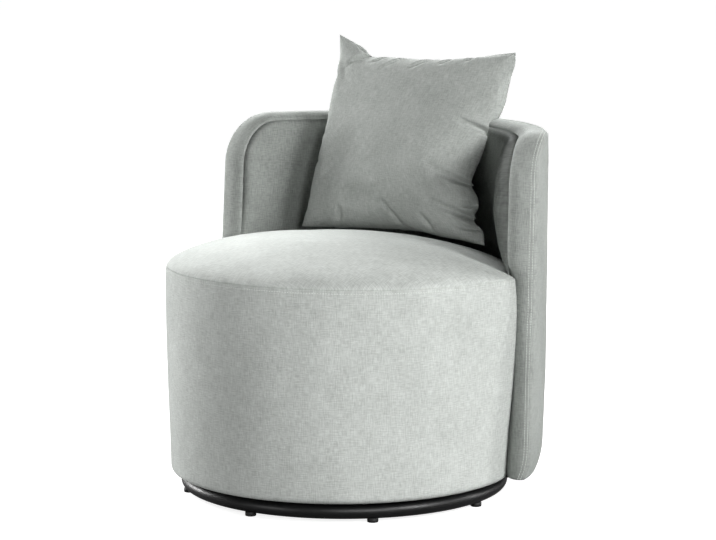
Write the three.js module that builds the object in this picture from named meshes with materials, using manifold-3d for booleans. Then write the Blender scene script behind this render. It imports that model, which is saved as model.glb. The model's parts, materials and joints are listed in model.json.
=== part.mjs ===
// Upholstered swivel armchair: round drum seat, wraparound back, loose cushion, ring base.
// Millimetres, +Z up, front towards -Y, resting on z = 0.
import * as THREE from 'three';
import { mergeVertices } from 'three/addons/utils/BufferGeometryUtils.js';
import Module from 'manifold-3d';

const wasm = await Module();
wasm.setup();

// Clearances
const gap = 0.3;
const rolling_gap = 0.25;
const weld = 0.0005;
const cut_overrun = 4;

// Ring base
const ring_radius = 275;
const ring_tube_radius = 12.5;
const foot_count = 8;
const foot_height = 6;
const foot_radius = 9.5;
const foot_edge = 1.2;
const foot_wrap = 2.4;
const base_turn = 3.2;
const bar_width = 40;
const bar_height = 15;
const bar_wall = 1.6;
const bar_corner = 3;

// Swivel bearing
const plate_side = 190;
const plate_corner = 16;
const plate_thickness = 2;
const plate_hole_radius = 14;
const plate_bolt_circle = 112;
const race_radius = 74;
const race_width = 22;
const race_rise = 1.1;
const race_groove_share = 0.8;
const ball_radius = 2.5;
const ball_count = 12;
const cage_width = 9;
const cage_thickness = 1.4;
const bush_radius = 11;
const bush_bore = 8;
const bush_flange = 17;
const bush_flange_thickness = 1.2;
const bolt_radius = 3;
const bolt_head_radius = 5.5;
const bolt_head_height = 2;
const bolt_length = 13;
const head_edge_share = 0.25;
const screw_radius = 2.2;
const screw_head_radius = 4.4;
const screw_head_height = 1.6;
const screw_length = 14;

// Seat drum frame
const drum_forward = 8;
const side_stack = 30;
const board_thickness = 18;
const ring_board_width = 71;
const ring_board_thickness = 18;
const side_board_thickness = 3;
const post_width = 38;
const post_edge = 3;
const post_ease = 1;
const post_turns = [45, 135, 225, 315];
const webbing_width = 60;
const webbing_thickness = 2;
const webbing_pitch = 105;
const dust_cover_thickness = 0.8;
const dust_cover_ease = 17.6;
const dust_cover_margin = 10;
const turn_under_width = 14;

// Seat upholstery
const cover_thickness = 1.5;
const drum_radius = 306;
const drum_widest_drop = 37;
const drum_taper = 6.5;
const drum_bottom_round = 10;
const seam_height = 392;
const seam_tuck = 2;
const seam_slope_share = 0.0244;
const seat_crown = 54;
const crown_fullness_share = 2.2;
const crown_edge_share = 0.62;
const foam_side_height = 38;
const drum_segments = 40;

// Wraparound back
const back_ease = 4;
const back_thickness = 47.6;
const back_top = 632;
const back_bottom = 42;
const back_half_angle = 76.7;
const back_splay = 1.4;
const back_splay_height = 150;
const back_corner = 94;
const back_tuck = 14.5;
const back_tuck_height = 460;
const back_tuck_curve_share = 1.6;
const back_toe = 8;
const back_toe_height = 50;
const back_toe_curve_share = 1.4;
const band_crown = 12;
const back_flare_height = 60;
const back_nap = 1.2;
const inner_padding_share = 0.21;
const outer_padding_share = 0.31;
const back_lining_thickness = 1.2;
const back_ply_thickness = 4;
const back_rib_width = 40;
const back_rib_turns = [-56, 0, 56];
const back_rail_height = 36;
const back_frame_ease = 6;
const back_frame_bottom = 150;
const back_bolt_turns = [-45, 45];
const back_bolt_height_shares = [0.19, 0.7];
const back_bolt_length = 62;
const back_bolt_end = 4;

// Scatter cushion
const cushion_width = 388;
const cushion_height = 354;
const cushion_depth = 138;
const cushion_lean = 17.5;
const cushion_turn = 4.3;
const cushion_aside = 21;
const cushion_rim = 1.6;
const cushion_swell_share = 0.72;
const cushion_fill_share = 0.84;
const cushion_belly_share = 0.16;
const cushion_bottom_shares = [[-1, -0.97], [-0.6, -0.94], [0.1, -0.91], [0.5, -0.94], [1, -1]];
const cushion_top_shares = [
  [-0.95, 1.07], [-0.66, 0.95], [-0.55, 0.87], [0.1, 0.86], [0.57, 0.9], [1, 0.98],
];
const cushion_left_shares = [[-1, -0.97], [-0.9, -0.42], [-0.87, 0.25], [-0.91, 0.84], [-0.95, 1.07]];
const cushion_right_shares = [
  [1, -1], [0.86, -0.7], [0.79, -0.4], [0.79, -0.2], [0.88, 0.14], [0.95, 0.48], [1, 0.98],
];
const cushion_clearance = 0.6;
const cushion_cells = 14;
const cushion_fill_cells = 8;
const cushion_rest_cells = 64;

// Angles and derived places
const degree = Math.PI / 180;
const circle = 2 * Math.PI;
const half_turn = Math.PI;
const quarter_turn = Math.PI / 2;
const board_radius = drum_radius - side_stack;
const ring_board_inner = board_radius - ring_board_width;
const turn_under_radius = board_radius - turn_under_width;
const dust_cover_rim = turn_under_radius - dust_cover_margin;
const dust_cover_hole = plate_side * Math.SQRT1_2 + dust_cover_ease;
const seam_radius = drum_radius - seam_tuck;
const drum_widest_height = seam_height - drum_widest_drop;
const back_inner_radius = drum_radius + back_ease;
const back_outer_radius = back_inner_radius + back_thickness;
const front_reach = drum_radius + drum_forward;
const back_reach = back_outer_radius - drum_forward;
const axis_y = (front_reach - back_reach) / 2;
const drum_y = axis_y - drum_forward;
const ring_z = foot_height + ring_tube_radius;
const bar_top = ring_z + bar_height / 2;
const lower_plate_z = bar_top + gap;
const ball_z = lower_plate_z + plate_thickness + race_rise + rolling_gap + ball_radius;
const upper_plate_z = ball_z + ball_radius + rolling_gap + race_rise;
const board_z = upper_plate_z + plate_thickness + gap;
const board_top = board_z + board_thickness;
const foam_z = seam_height - foam_side_height;
const seam_slope_start = foam_z + cover_thickness;
const webbing_upper_z = foam_z - gap - webbing_thickness;
const webbing_lower_z = webbing_upper_z - gap - webbing_thickness;
const ring_board_top = webbing_lower_z - gap;
const ring_board_z = ring_board_top - ring_board_thickness;
const fabric_z = board_z - gap - cover_thickness;
const side_board_inner = board_radius + gap;
const side_board_outer = side_board_inner + side_board_thickness;
const post_centre = Math.sqrt(board_radius ** 2 - (post_width / 2) ** 2) - post_width / 2;
const inner_foam_inner = back_inner_radius + cover_thickness + back_nap;
const inner_foam_outer = inner_foam_inner + inner_padding_share * back_thickness;
const inner_ply_radius = inner_foam_outer + back_nap;
const rib_inner = inner_ply_radius + back_ply_thickness + gap;
const outer_ply_outer = back_outer_radius - outer_padding_share * back_thickness;
const outer_ply_radius = outer_ply_outer - back_ply_thickness;
const rib_outer = outer_ply_radius - back_nap;
const back_panel_inset = band_crown + cover_thickness + 2 * gap;
const back_frame_inset = back_panel_inset + back_frame_ease;
const frame_top = back_top - back_frame_inset;
const back_straight = back_top - back_corner;

const group = new THREE.Group();

// Materials
function material(colour, roughness, metalness) {
  return new THREE.MeshStandardMaterial({ color: colour, roughness, metalness });
}
const black_steel = () => material(0x101011, 0.42, 0.6);
const zinc_steel = () => material(0xa9abac, 0.35, 0.9);
const bearing_steel = () => material(0xc9cbcd, 0.18, 1);
const cage_plastic = () => material(0xe6e2d6, 0.5, 0);
const black_plastic = () => material(0x161616, 0.6, 0);
const plywood = () => material(0xc9a878, 0.7, 0);
const softwood = () => material(0xd8bb8b, 0.75, 0);
const fibreboard = () => material(0x8b6b4c, 0.85, 0);
const webbing_weave = () => material(0x3b352c, 0.9, 0);
const foam = () => material(0xe9dfb4, 0.95, 0);
const lining = () => material(0x242424, 0.95, 0);
const upholstery = () => material(0xb9beb8, 0.92, 0);

// Solids
function outward(geometry) {
  const merged = mergeVertices(bare(geometry), weld);
  const at = merged.attributes.position;
  const corner = (i) => new THREE.Vector3().fromBufferAttribute(at, i);
  const faces = [];
  let volume = 0;
  for (let i = 0; i < merged.index.count; i += 3) {
    const [a, b, c] = [0, 1, 2].map((k) => merged.index.getX(i + k));
    if (a !== b && b !== c && c !== a) {
      faces.push(a, b, c);
      volume += corner(a).dot(corner(b).cross(corner(c)));
    }
  }
  merged.setIndex(volume < 0 ? faces.reverse() : faces);
  merged.computeVertexNormals();
  return merged;
}

function bare(geometry) {
  const copy = geometry.clone();
  copy.deleteAttribute('normal');
  copy.deleteAttribute('uv');
  return copy;
}

function toSolid(geometry) {
  const merged = mergeVertices(bare(geometry), weld);
  const triVerts = Uint32Array.from(merged.index.array);
  const vertProperties = Float32Array.from(merged.attributes.position.array);
  return new wasm.Manifold(new wasm.Mesh({ numProp: 3, vertProperties, triVerts }));
}

function fromSolid(solid) {
  const mesh = solid.getMesh();
  const geometry = new THREE.BufferGeometry();
  geometry.setAttribute('position', new THREE.BufferAttribute(mesh.vertProperties, 3));
  geometry.setIndex(new THREE.BufferAttribute(mesh.triVerts, 1));
  return outward(geometry);
}

function cut(geometry, tools) {
  const start = toSolid(geometry);
  return fromSolid(tools.reduce((solid, tool) => solid.subtract(toSolid(tool)), start));
}

function joined(geometries) {
  const [first, ...others] = geometries.map(toSolid);
  return fromSolid(others.reduce((solid, other) => solid.add(other), first));
}

function revolve(profile, segments) {
  const points = profile.map(([r, z]) => new THREE.Vector2(r, z));
  const lathe = new THREE.LatheGeometry(points, segments);
  lathe.rotateX(quarter_turn);
  return outward(lathe);
}

function closed(profile) {
  return [...profile, profile[0]];
}

function rod(radius, from, to, segments) {
  const span = new THREE.Vector3().subVectors(to, from);
  const geometry = new THREE.CylinderGeometry(radius, radius, span.length(), segments);
  const up = new THREE.Vector3(0, 1, 0);
  geometry.applyQuaternion(new THREE.Quaternion().setFromUnitVectors(up, span.normalize()));
  const middle = new THREE.Vector3().addVectors(from, to).multiplyScalar(0.5);
  geometry.translate(middle.x, middle.y, middle.z);
  return outward(geometry);
}

function upright(radius, x, y, z0, z1, segments) {
  return rod(radius, new THREE.Vector3(x, y, z0), new THREE.Vector3(x, y, z1), segments);
}

function torus(radius, tube, around, across) {
  return outward(new THREE.TorusGeometry(radius, tube, across, around));
}

function prism(shape, z0, height, curve_segments) {
  const options = { depth: height, bevelEnabled: false, curveSegments: curve_segments };
  const geometry = new THREE.ExtrudeGeometry(shape, options);
  geometry.translate(0, 0, z0);
  return outward(geometry);
}

function roundedRectangle(width, depth, radius) {
  const [x, y] = [width / 2, depth / 2];
  const shape = new THREE.Shape();
  shape.moveTo(-x + radius, -y);
  shape.lineTo(x - radius, -y);
  shape.absarc(x - radius, -y + radius, radius, -quarter_turn, 0, false);
  shape.absarc(x - radius, y - radius, radius, 0, quarter_turn, false);
  shape.absarc(-x + radius, y - radius, radius, quarter_turn, half_turn, false);
  shape.absarc(-x + radius, -y + radius, radius, half_turn, half_turn + quarter_turn, false);
  shape.closePath();
  return shape;
}

function slab(front, back) {
  const [rows, columns] = [front.length, front[0].length];
  const points = [...front.flat(), ...back.flat()];
  const at = (side, i, j) => side * rows * columns + i * columns + j;
  const faces = [];
  const quad = (a, b, c, d) => faces.push(a, b, c, a, c, d);
  for (let i = 0; i + 1 < rows; i += 1) {
    for (let j = 0; j + 1 < columns; j += 1) {
      quad(at(0, i, j), at(0, i, j + 1), at(0, i + 1, j + 1), at(0, i + 1, j));
      quad(at(1, i, j), at(1, i + 1, j), at(1, i + 1, j + 1), at(1, i, j + 1));
    }
  }
  const [top, side] = [rows - 1, columns - 1];
  for (let j = 0; j < side; j += 1) {
    quad(at(0, 0, j), at(1, 0, j), at(1, 0, j + 1), at(0, 0, j + 1));
    quad(at(0, top, j + 1), at(1, top, j + 1), at(1, top, j), at(0, top, j));
  }
  for (let i = 0; i < top; i += 1) {
    quad(at(0, i + 1, 0), at(1, i + 1, 0), at(1, i, 0), at(0, i, 0));
    quad(at(0, i, side), at(1, i, side), at(1, i + 1, side), at(0, i + 1, side));
  }
  return surface(points, faces);
}

function surface(points, faces) {
  const geometry = new THREE.BufferGeometry();
  const flat = points.flatMap((p) => [p.x, p.y, p.z]);
  geometry.setAttribute('position', new THREE.Float32BufferAttribute(flat, 3));
  geometry.setIndex(faces);
  return outward(geometry);
}

function sweep(rings, section) {
  const count = section.length;
  const faces = [];
  for (let k = 0; k + 1 < rings.length; k += 1) {
    for (let m = 0; m < count; m += 1) {
      const [a, b] = [k * count + m, k * count + (m + 1) % count];
      faces.push(a, b, b + count, a, b + count, a + count);
    }
  }
  const turns = THREE.ShapeUtils.area(section) > 0;
  for (const triangle of THREE.ShapeUtils.triangulateShape(section, [])) {
    const corners = triangle.map((i) => section[i]);
    const same = (THREE.ShapeUtils.area(corners) > 0) === turns;
    const [a, b, c] = same ? triangle : [...triangle].reverse();
    const last = (rings.length - 1) * count;
    faces.push(c, b, a, last + a, last + b, last + c);
  }
  return surface(rings.flat(), faces);
}

function steps(count) {
  return Array.from({ length: count + 1 }, (_, i) => i / count);
}

function polar(radius, angle, z) {
  return new THREE.Vector3(radius * Math.sin(angle), radius * Math.cos(angle), z);
}

function smooth(value) {
  const t = Math.min(1, Math.max(0, value));
  return t * t * (3 - 2 * t);
}

function add(parent, name, geometry, finish) {
  const mesh = new THREE.Mesh(geometry, finish);
  mesh.name = name;
  parent.add(mesh);
}

// Base ring, feet and cross bars
function ringTube(grow) {
  return torus(ring_radius, ring_tube_radius + grow, 48, 12);
}

function footSolid(angle) {
  const rise = ring_z - Math.sqrt(ring_tube_radius ** 2 - foot_radius ** 2) + foot_wrap;
  const flat = foot_radius - foot_edge;
  const profile = [[0, 0], [flat, 0], [foot_radius, foot_edge], [foot_radius, rise], [0, rise]];
  const foot = revolve(profile, 12);
  const place = polar(ring_radius, angle, 0);
  foot.translate(place.x, -place.y, 0);
  const tube = ringTube(gap);
  tube.translate(0, 0, ring_z);
  return cut(foot, [tube]);
}

function barSolid(from, to) {
  const outer = prism(roundedRectangle(bar_width, bar_height, bar_corner), from, to - from, 2);
  const [inner_width, inner_height] = [bar_width - 2 * bar_wall, bar_height - 2 * bar_wall];
  const shape = roundedRectangle(inner_width, inner_height, bar_corner - bar_wall);
  const bore = prism(shape, from - cut_overrun, to - from + 2 * cut_overrun, 1);
  const bar = cut(outer, [bore]);
  bar.rotateX(quarter_turn);
  bar.translate(0, 0, ring_z);
  return bar;
}

function barHoles() {
  const places = [0, 1, 2, 3].map((k) => polar(plate_bolt_circle, k * quarter_turn, 0));
  const z0 = bar_top - bolt_length - cut_overrun;
  return places.map((p) => upright(bolt_radius + gap, p.x, p.y, z0, bar_top + cut_overrun, 12));
}

function crossBars() {
  const tube = ringTube(gap);
  tube.translate(0, 0, ring_z);
  const tools = [tube, ...barHoles()];
  const reach = ring_radius;
  const long_bar = cut(barSolid(-reach, reach), tools);
  const start = bar_width / 2 + gap;
  const near = cut(barSolid(start, reach).rotateZ(quarter_turn), tools);
  const far = cut(barSolid(start, reach).rotateZ(-quarter_turn), tools);
  return [long_bar, near, far];
}

function baseFrame(base) {
  const ring = ringTube(0);
  ring.translate(0, 0, ring_z);
  add(base, 'base_ring', ring, black_steel());
  const [long_bar, right_bar, left_bar] = crossBars();
  add(base, 'cross_bar_long', long_bar, black_steel());
  add(base, 'cross_bar_right', right_bar, black_steel());
  add(base, 'cross_bar_left', left_bar, black_steel());
  for (let i = 0; i < foot_count; i += 1) {
    add(base, `foot_${i + 1}`, footSolid((i * circle) / foot_count), black_plastic());
  }
}

// Ball race between two pressed plates
function pressedPlate(hole, screw_hole) {
  const shape = roundedRectangle(plate_side, plate_side, plate_corner);
  const plate = prism(shape, 0, plate_thickness, 3);
  plate.rotateZ(quarter_turn / 2);
  const [inner, outer] = [race_radius - race_width / 2, race_radius + race_width / 2];
  const rise = plate_thickness + race_rise;
  const groove = ball_radius * race_groove_share;
  const slope = race_rise;
  const bead = revolve(closed([
    [inner, plate_thickness / 2],
    [outer, plate_thickness / 2],
    [outer - slope, rise],
    [race_radius + groove, rise],
    [race_radius + groove / 2, rise - race_rise / 2],
    [race_radius - groove / 2, rise - race_rise / 2],
    [race_radius - groove, rise],
    [inner + slope, rise],
  ]), 32);
  const low = -cut_overrun;
  const high = rise + cut_overrun;
  const tools = [upright(hole, 0, 0, low, high, 20)];
  for (let k = 0; k < 4; k += 1) {
    const p = polar(plate_bolt_circle, k * quarter_turn, 0);
    tools.push(upright(screw_hole, p.x, p.y, low, high, 10));
  }
  return cut(joined([plate, bead]), tools);
}

function ballCage() {
  const [inner, outer] = [race_radius - cage_width / 2, race_radius + cage_width / 2];
  const half = cage_thickness / 2;
  const ring = revolve(closed([[inner, -half], [outer, -half], [outer, half], [inner, half]]), 24);
  const balls = [];
  for (let i = 0; i < ball_count; i += 1) {
    const ball = new THREE.SphereGeometry(ball_radius, 8, 6);
    const p = polar(race_radius, (i * circle) / ball_count, 0);
    ball.translate(p.x, p.y, 0);
    balls.push(outward(ball));
  }
  const cage = joined([ring, ...balls]);
  cage.translate(0, 0, ball_z);
  return cage;
}

function bushSolid() {
  const z0 = lower_plate_z + plate_thickness + gap;
  const z1 = upper_plate_z + plate_thickness;
  const profile = [
    [bush_bore, z0],
    [bush_bore, z1],
    [bush_radius, z1],
    [bush_radius, z0 + bush_flange_thickness],
    [bush_flange, z0 + bush_flange_thickness],
    [bush_flange, z0],
  ];
  return revolve(closed(profile), 20);
}

function headedPin(radius, head_radius, head_height, length) {
  const edge = head_height * head_edge_share;
  return revolve([
    [0, -length],
    [radius, -length],
    [radius, 0],
    [head_radius, 0],
    [head_radius, head_height - edge],
    [head_radius - edge, head_height],
    [0, head_height],
  ], 8);
}

function bearing(base, turning) {
  const lower = pressedPlate(plate_hole_radius, bolt_radius + gap);
  lower.translate(0, 0, lower_plate_z);
  add(base, 'swivel_lower_plate', lower, zinc_steel());
  add(base, 'swivel_ball_cage', ballCage(), bearing_steel());
  add(base, 'swivel_centre_bush', bushSolid(), cage_plastic());
  const upper = pressedPlate(plate_hole_radius, screw_radius + gap);
  upper.rotateX(half_turn);
  upper.translate(0, 0, upper_plate_z + plate_thickness);
  add(turning, 'swivel_upper_plate', upper, zinc_steel());
  for (let k = 0; k < 4; k += 1) {
    const p = polar(plate_bolt_circle, k * quarter_turn, 0);
    const bolt = headedPin(bolt_radius, bolt_head_radius, bolt_head_height, bolt_length);
    bolt.translate(p.x, p.y, lower_plate_z + plate_thickness + gap);
    add(base, `plate_bolt_${k + 1}`, bolt, zinc_steel());
    const screw = headedPin(screw_radius, screw_head_radius, screw_head_height, screw_length);
    screw.rotateX(half_turn);
    screw.translate(p.x, p.y, upper_plate_z - gap);
    add(turning, `plate_screw_${k + 1}`, screw, zinc_steel());
  }
}

// Drum outline
function drumRadius(z) {
  const fall = Math.max(0, (drum_widest_height - z) / (drum_widest_height - fabric_z));
  const body = drum_radius - drum_taper * fall ** 1.5;
  const low = Math.min(1, Math.max(0, 1 - (z - fabric_z) / drum_bottom_round));
  const round = drum_bottom_round * (1 - Math.sqrt(1 - low * low));
  const high = Math.max(0, (z - drum_widest_height) / (seam_height - drum_widest_height));
  return body - round - (drum_radius - seam_radius) * high * high;
}

function tilted(geometry) {
  const at = geometry.attributes.position;
  for (let i = 0; i < at.count; i += 1) {
    const share = (at.getZ(i) - seam_slope_start) / (seam_height - seam_slope_start);
    const drop = seam_slope_share * at.getY(i) * Math.min(1, Math.max(0, share));
    at.setZ(i, at.getZ(i) - drop);
  }
  geometry.computeVertexNormals();
  return geometry;
}

function crownHeight(share) {
  const rest = Math.max(0, 1 - share ** crown_fullness_share);
  return rest ** crown_edge_share;
}

const crown_shares = [0, 0.2, 0.38, 0.54, 0.68, 0.8, 0.89, 0.95, 0.985, 1];
const lining_shares = [0, 0.38, 0.68, 0.89, 0.985, 1];

function crownProfile(radius, height, z, shares) {
  return shares.map((s) => [radius * s, z + height * crownHeight(s)]);
}

const drum_round_shares = [0, 0.12, 0.45, 1];
const drum_side_shares = [0.3, 0.65, 1];
const drum_top_shares = [0.5, 1];
const padding_level_shares = [0, 0.04, 0.4, 1];
const padding_ease_share = 0.5;

function drumLevels(top) {
  const round_top = fabric_z + drum_bottom_round;
  const round = drum_round_shares.map((s) => fabric_z + drum_bottom_round * s);
  const side = drum_side_shares.map((s) => round_top + (drum_widest_height - round_top) * s);
  const upper = drum_top_shares.map((s) => drum_widest_height + (top - drum_widest_height) * s);
  return [...round, ...side, ...upper];
}

function sideCover() {
  const top = seam_height - gap / 2;
  const levels = drumLevels(top);
  const outer = levels.map((z) => [drumRadius(z), z]);
  const inner_z = fabric_z + cover_thickness;
  const inner_levels = levels.filter((z, i) => z > inner_z + cover_thickness && i % 2 > 0);
  const inner = inner_levels.map((z) => [drumRadius(z) - cover_thickness, z]).reverse();
  const low_inner = drumRadius(inner_z + cover_thickness) - cover_thickness;
  const profile = [[turn_under_radius, fabric_z], ...outer, ...inner];
  return [...profile, [low_inner - cover_thickness, inner_z], [turn_under_radius, inner_z]];
}

function sidePadding() {
  const z0 = board_z + cover_thickness;
  const z1 = foam_z - gap;
  const clear = cover_thickness + gap;
  const levels = padding_level_shares.map((s) => z0 + (z1 - z0) * s);
  const ease = (z) => clear * (z < z1 ? padding_ease_share : 1);
  const outer = levels.map((z) => [drumRadius(z) - clear - ease(z), z]);
  const inner = side_board_outer + gap;
  return [[inner, z0], ...outer, [inner, z1]];
}

function seatFoam() {
  const clear = cover_thickness + gap;
  const z0 = foam_z;
  const radius = seam_radius - clear - gap;
  const crown = crownProfile(radius, seat_crown - clear, seam_height, lining_shares);
  return [[0, z0], [radius, z0], ...crown.reverse()];
}

function seatCover() {
  const z = seam_height + gap / 2;
  const outer = crownProfile(seam_radius, seat_crown, z, crown_shares);
  const [radius, crown] = [seam_radius - cover_thickness, seat_crown - cover_thickness];
  return [...outer, ...crownProfile(radius, crown, z, lining_shares).reverse()];
}

function frameBoards(seat) {
  const screws = [];
  for (let k = 0; k < 4; k += 1) {
    const p = polar(plate_bolt_circle, k * quarter_turn, 0);
    const [z0, z1] = [board_z - cut_overrun, upper_plate_z + screw_length + gap];
    screws.push(upright(screw_radius + gap, p.x, p.y + drum_forward, z0, z1, 10));
  }
  const disc = [[0, board_z], [board_radius, board_z], [board_radius, board_top], [0, board_top]];
  add(seat, 'bottom_board', cut(revolve(disc, drum_segments), screws), plywood());
  const ring = closed([
    [ring_board_inner, ring_board_z],
    [board_radius, ring_board_z],
    [board_radius, ring_board_top],
    [ring_board_inner, ring_board_top],
  ]);
  add(seat, 'seat_ring_board', revolve(ring, drum_segments), plywood());
  const wall = closed([
    [side_board_inner, board_z + gap],
    [side_board_outer, board_z + gap],
    [side_board_outer, ring_board_top],
    [side_board_inner, ring_board_top],
  ]);
  const board = cut(revolve(wall, drum_segments), backBoltHoles());
  add(seat, 'drum_side_board', board, fibreboard());
}

function posts(seat) {
  const height = ring_board_z - board_top - 2 * gap;
  post_turns.forEach((turn, i) => {
    const shape = roundedRectangle(post_width, post_width, post_edge);
    const post = prism(shape, board_top + gap, height, 2);
    post.translate(0, post_centre - post_ease, 0);
    post.rotateZ(-turn * degree);
    add(seat, `drum_post_${i + 1}`, cut(post, backBoltHoles()), softwood());
  });
}

function webbing(seat) {
  const strap = (offset, z, along) => {
    const half = Math.abs(offset) + webbing_width / 2;
    const length = 2 * (Math.sqrt(board_radius ** 2 - half ** 2) - gap);
    const shape = roundedRectangle(length, webbing_width, webbing_thickness);
    const geometry = prism(shape, z, webbing_thickness, 2);
    geometry.translate(0, offset, 0);
    return along ? geometry.rotateZ(quarter_turn) : geometry;
  };
  [-1, 0, 1].forEach((k, i) => {
    const across = strap(k * webbing_pitch, webbing_lower_z, false);
    add(seat, `webbing_across_${i + 1}`, across, webbing_weave());
  });
  [-1, 1].forEach((k, i) => {
    const along = strap((k * webbing_pitch) / 2, webbing_upper_z, true);
    add(seat, `webbing_along_${i + 1}`, along, webbing_weave());
  });
}

function dustCover(seat) {
  const shape = new THREE.Shape();
  shape.absarc(0, 0, dust_cover_rim, 0, circle, false);
  const hole = new THREE.Path();
  hole.absarc(0, drum_forward, dust_cover_hole, 0, circle, true);
  shape.holes.push(hole);
  const z = board_z - gap - dust_cover_thickness;
  add(seat, 'dust_cover', prism(shape, z, dust_cover_thickness, 16), lining());
}

function drumUpholstery(seat) {
  add(seat, 'seat_foam', tilted(revolve(seatFoam(), drum_segments / 2)), foam());
  const padding = cut(revolve(closed(sidePadding()), drum_segments), backBoltHoles());
  add(seat, 'drum_side_padding', padding, foam());
  const side = tilted(revolve(closed(sideCover()), drum_segments));
  add(seat, 'drum_side_cover', cut(side, backBoltHoles()), upholstery());
  add(seat, 'seat_top_cover', tilted(revolve(seatCover(), drum_segments)), upholstery());
}

// Back shell in unrolled terms: angle from the rear, height, inset from its outline
const outer_level_shares = [0, 0.04, 0.1, 0.25, 0.45, 0.7];
const inner_level_shares = [0, 0.6, 0.7, 1];
const inner_foam_level_shares = [0, 1];
const outer_foam_level_shares = [0, 0.3, 1];
const band_section_shares = [0, 0.18, 0.5, 0.82, 1];

function halfAngle(z) {
  const share = Math.min(1, Math.max(0, (back_straight - z) / back_splay_height));
  return (back_half_angle + back_splay * share) * degree;
}

function panelPoint(side, level, radius, inset, bottom) {
  const corner = back_corner - inset;
  const reach = halfAngle(back_top) * back_outer_radius - inset;
  const past = Math.max(0, Math.abs(side) * reach - (reach - corner));
  const top = back_top - inset - corner + Math.sqrt(Math.max(0, corner ** 2 - past ** 2));
  const z = bottom + (top - bottom) * level;
  const angle = side * (halfAngle(z) - inset / back_outer_radius);
  return polar(radius(z), angle, z);
}

function panelSides(count) {
  const corner = back_corner / (halfAngle(back_top) * back_outer_radius);
  const ends = [1, 0.97, 0.87, 0.7, 0.45, 0.22].map((s) => 1 - corner + corner * s);
  const middle = steps(count).map((s) => (1 - corner) * (2 * s - 1));
  return [...ends.map((s) => -s), ...middle, ...ends.reverse()];
}

function panel(inner, outer, inset, bottom, levels, count) {
  const grid = (radius) => levels.map((level) => panelSides(count)
    .map((side) => panelPoint(side, level, radius, inset, bottom)));
  return slab(grid(outer), grid(inner));
}

function innerRadius(z) {
  const flare = smooth((z - seam_height) / back_flare_height);
  const close = drum_radius + back_nap;
  return close + (back_inner_radius - close) * flare;
}

function outerRadius(z) {
  const high = Math.max(0, 1 - (z - back_bottom) / back_tuck_height);
  const low = Math.max(0, 1 - (z - back_bottom) / back_toe_height);
  const tuck = back_tuck * high ** back_tuck_curve_share;
  return back_outer_radius - tuck - back_toe * low ** back_toe_curve_share;
}

function arcBlock(inner, outer, start, end, z0, z1, count) {
  const angles = steps(count).map((s) => start + (end - start) * s);
  const grid = (radius) => [z0, z1].map((z) => angles.map((a) => polar(radius, a, z)));
  return slab(grid(outer), grid(inner));
}

function bandSection() {
  const crown = (s) => band_crown * (1 - (2 * s - 1) ** 2);
  const outer = band_section_shares.map((s) => new THREE.Vector2(s, crown(s)));
  const inner = band_section_shares.map((s) => new THREE.Vector2(s, crown(s) - cover_thickness));
  return [...outer, ...inner.reverse()];
}

function bandPath() {
  const height = back_straight - back_bottom;
  const rise = outer_level_shares.map((s) => back_bottom + height * s);
  const arc = steps(7).map((s) => s * quarter_turn);
  const reach = halfAngle(back_top) * back_outer_radius;
  const along = steps(18).slice(1, -1).map((s) => (reach - back_corner) * (1 - 2 * s));
  const left = [
    ...rise.map((z) => ({ angle: halfAngle(z), z, turn: 0 })),
    ...arc.map((t) => ({
      angle: (reach - back_corner * (1 - Math.cos(t))) / back_outer_radius,
      z: back_straight + back_corner * Math.sin(t),
      turn: t,
    })),
  ];
  const middle = along.map((s) => {
    const angle = s / back_outer_radius;
    return { angle, z: back_top, turn: quarter_turn };
  });
  const right = left.map(({ angle, z, turn }) => ({ angle: -angle, z, turn: half_turn - turn }));
  return [...left, ...middle, ...right.reverse()];
}

function bandSolid() {
  const section = bandSection();
  const rings = bandPath().map(({ angle, z, turn }) => section.map((s) => {
    const inner = innerRadius(z);
    const radius = inner + (outerRadius(z) - inner) * s.x;
    const lift = s.y - band_crown;
    const across = (lift * Math.cos(turn)) / back_outer_radius;
    return polar(radius, angle + across, z + lift * Math.sin(turn));
  }));
  return sweep(rings, section);
}

function backBolts() {
  const height = foam_z - back_frame_bottom;
  const heights = back_bolt_height_shares.map((s) => back_frame_bottom + height * s);
  return back_bolt_turns.flatMap((turn) => heights.map((z) => ({ turn, z })));
}

function backBoltHoles() {
  const [near, far] = [rib_inner - back_bolt_length - back_bolt_end, rib_inner - gap / 2];
  return backBolts().map(({ turn, z }) => {
    const angle = turn * degree;
    return rod(bolt_radius + gap, polar(near, angle, z), polar(far, angle, z), 8);
  });
}

function backFrame(seat) {
  const inner_ply = panel(
    () => inner_ply_radius,
    () => inner_ply_radius + back_ply_thickness,
    back_frame_inset,
    back_frame_bottom,
    [0, 1],
    38,
  );
  add(seat, 'back_inner_ply', cut(inner_ply, backBoltHoles()), plywood());
  const outer_ply = panel(
    () => outer_ply_radius,
    () => outer_ply_outer,
    back_frame_inset,
    back_frame_bottom,
    [0, 1],
    38,
  );
  add(seat, 'back_outer_ply', outer_ply, plywood());
  const rail_z = frame_top - gap - back_rail_height;
  const reach = halfAngle(back_top) - (back_corner + back_frame_inset) / rib_inner;
  const rail = arcBlock(rib_inner, rib_outer, -reach, reach, rail_z, frame_top - gap, 36);
  add(seat, 'back_top_rail', rail, softwood());
  back_rib_turns.forEach((turn, i) => {
    const half = back_rib_width / 2 / rib_inner;
    const [a, b] = [turn * degree - half, turn * degree + half];
    const rib = arcBlock(rib_inner, rib_outer, a, b, back_frame_bottom, rail_z - gap, 2);
    add(seat, `back_rib_${i + 1}`, rib, softwood());
  });
  backBolts().forEach(({ turn, z }, i) => {
    const head = bolt_head_height;
    const bolt = headedPin(bolt_radius, bolt_head_radius, head, back_bolt_length);
    bolt.rotateX(-quarter_turn);
    bolt.translate(0, rib_inner, z);
    bolt.rotateZ(-turn * degree);
    add(seat, `back_bolt_${i + 1}`, bolt, zinc_steel());
  });
}

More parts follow.
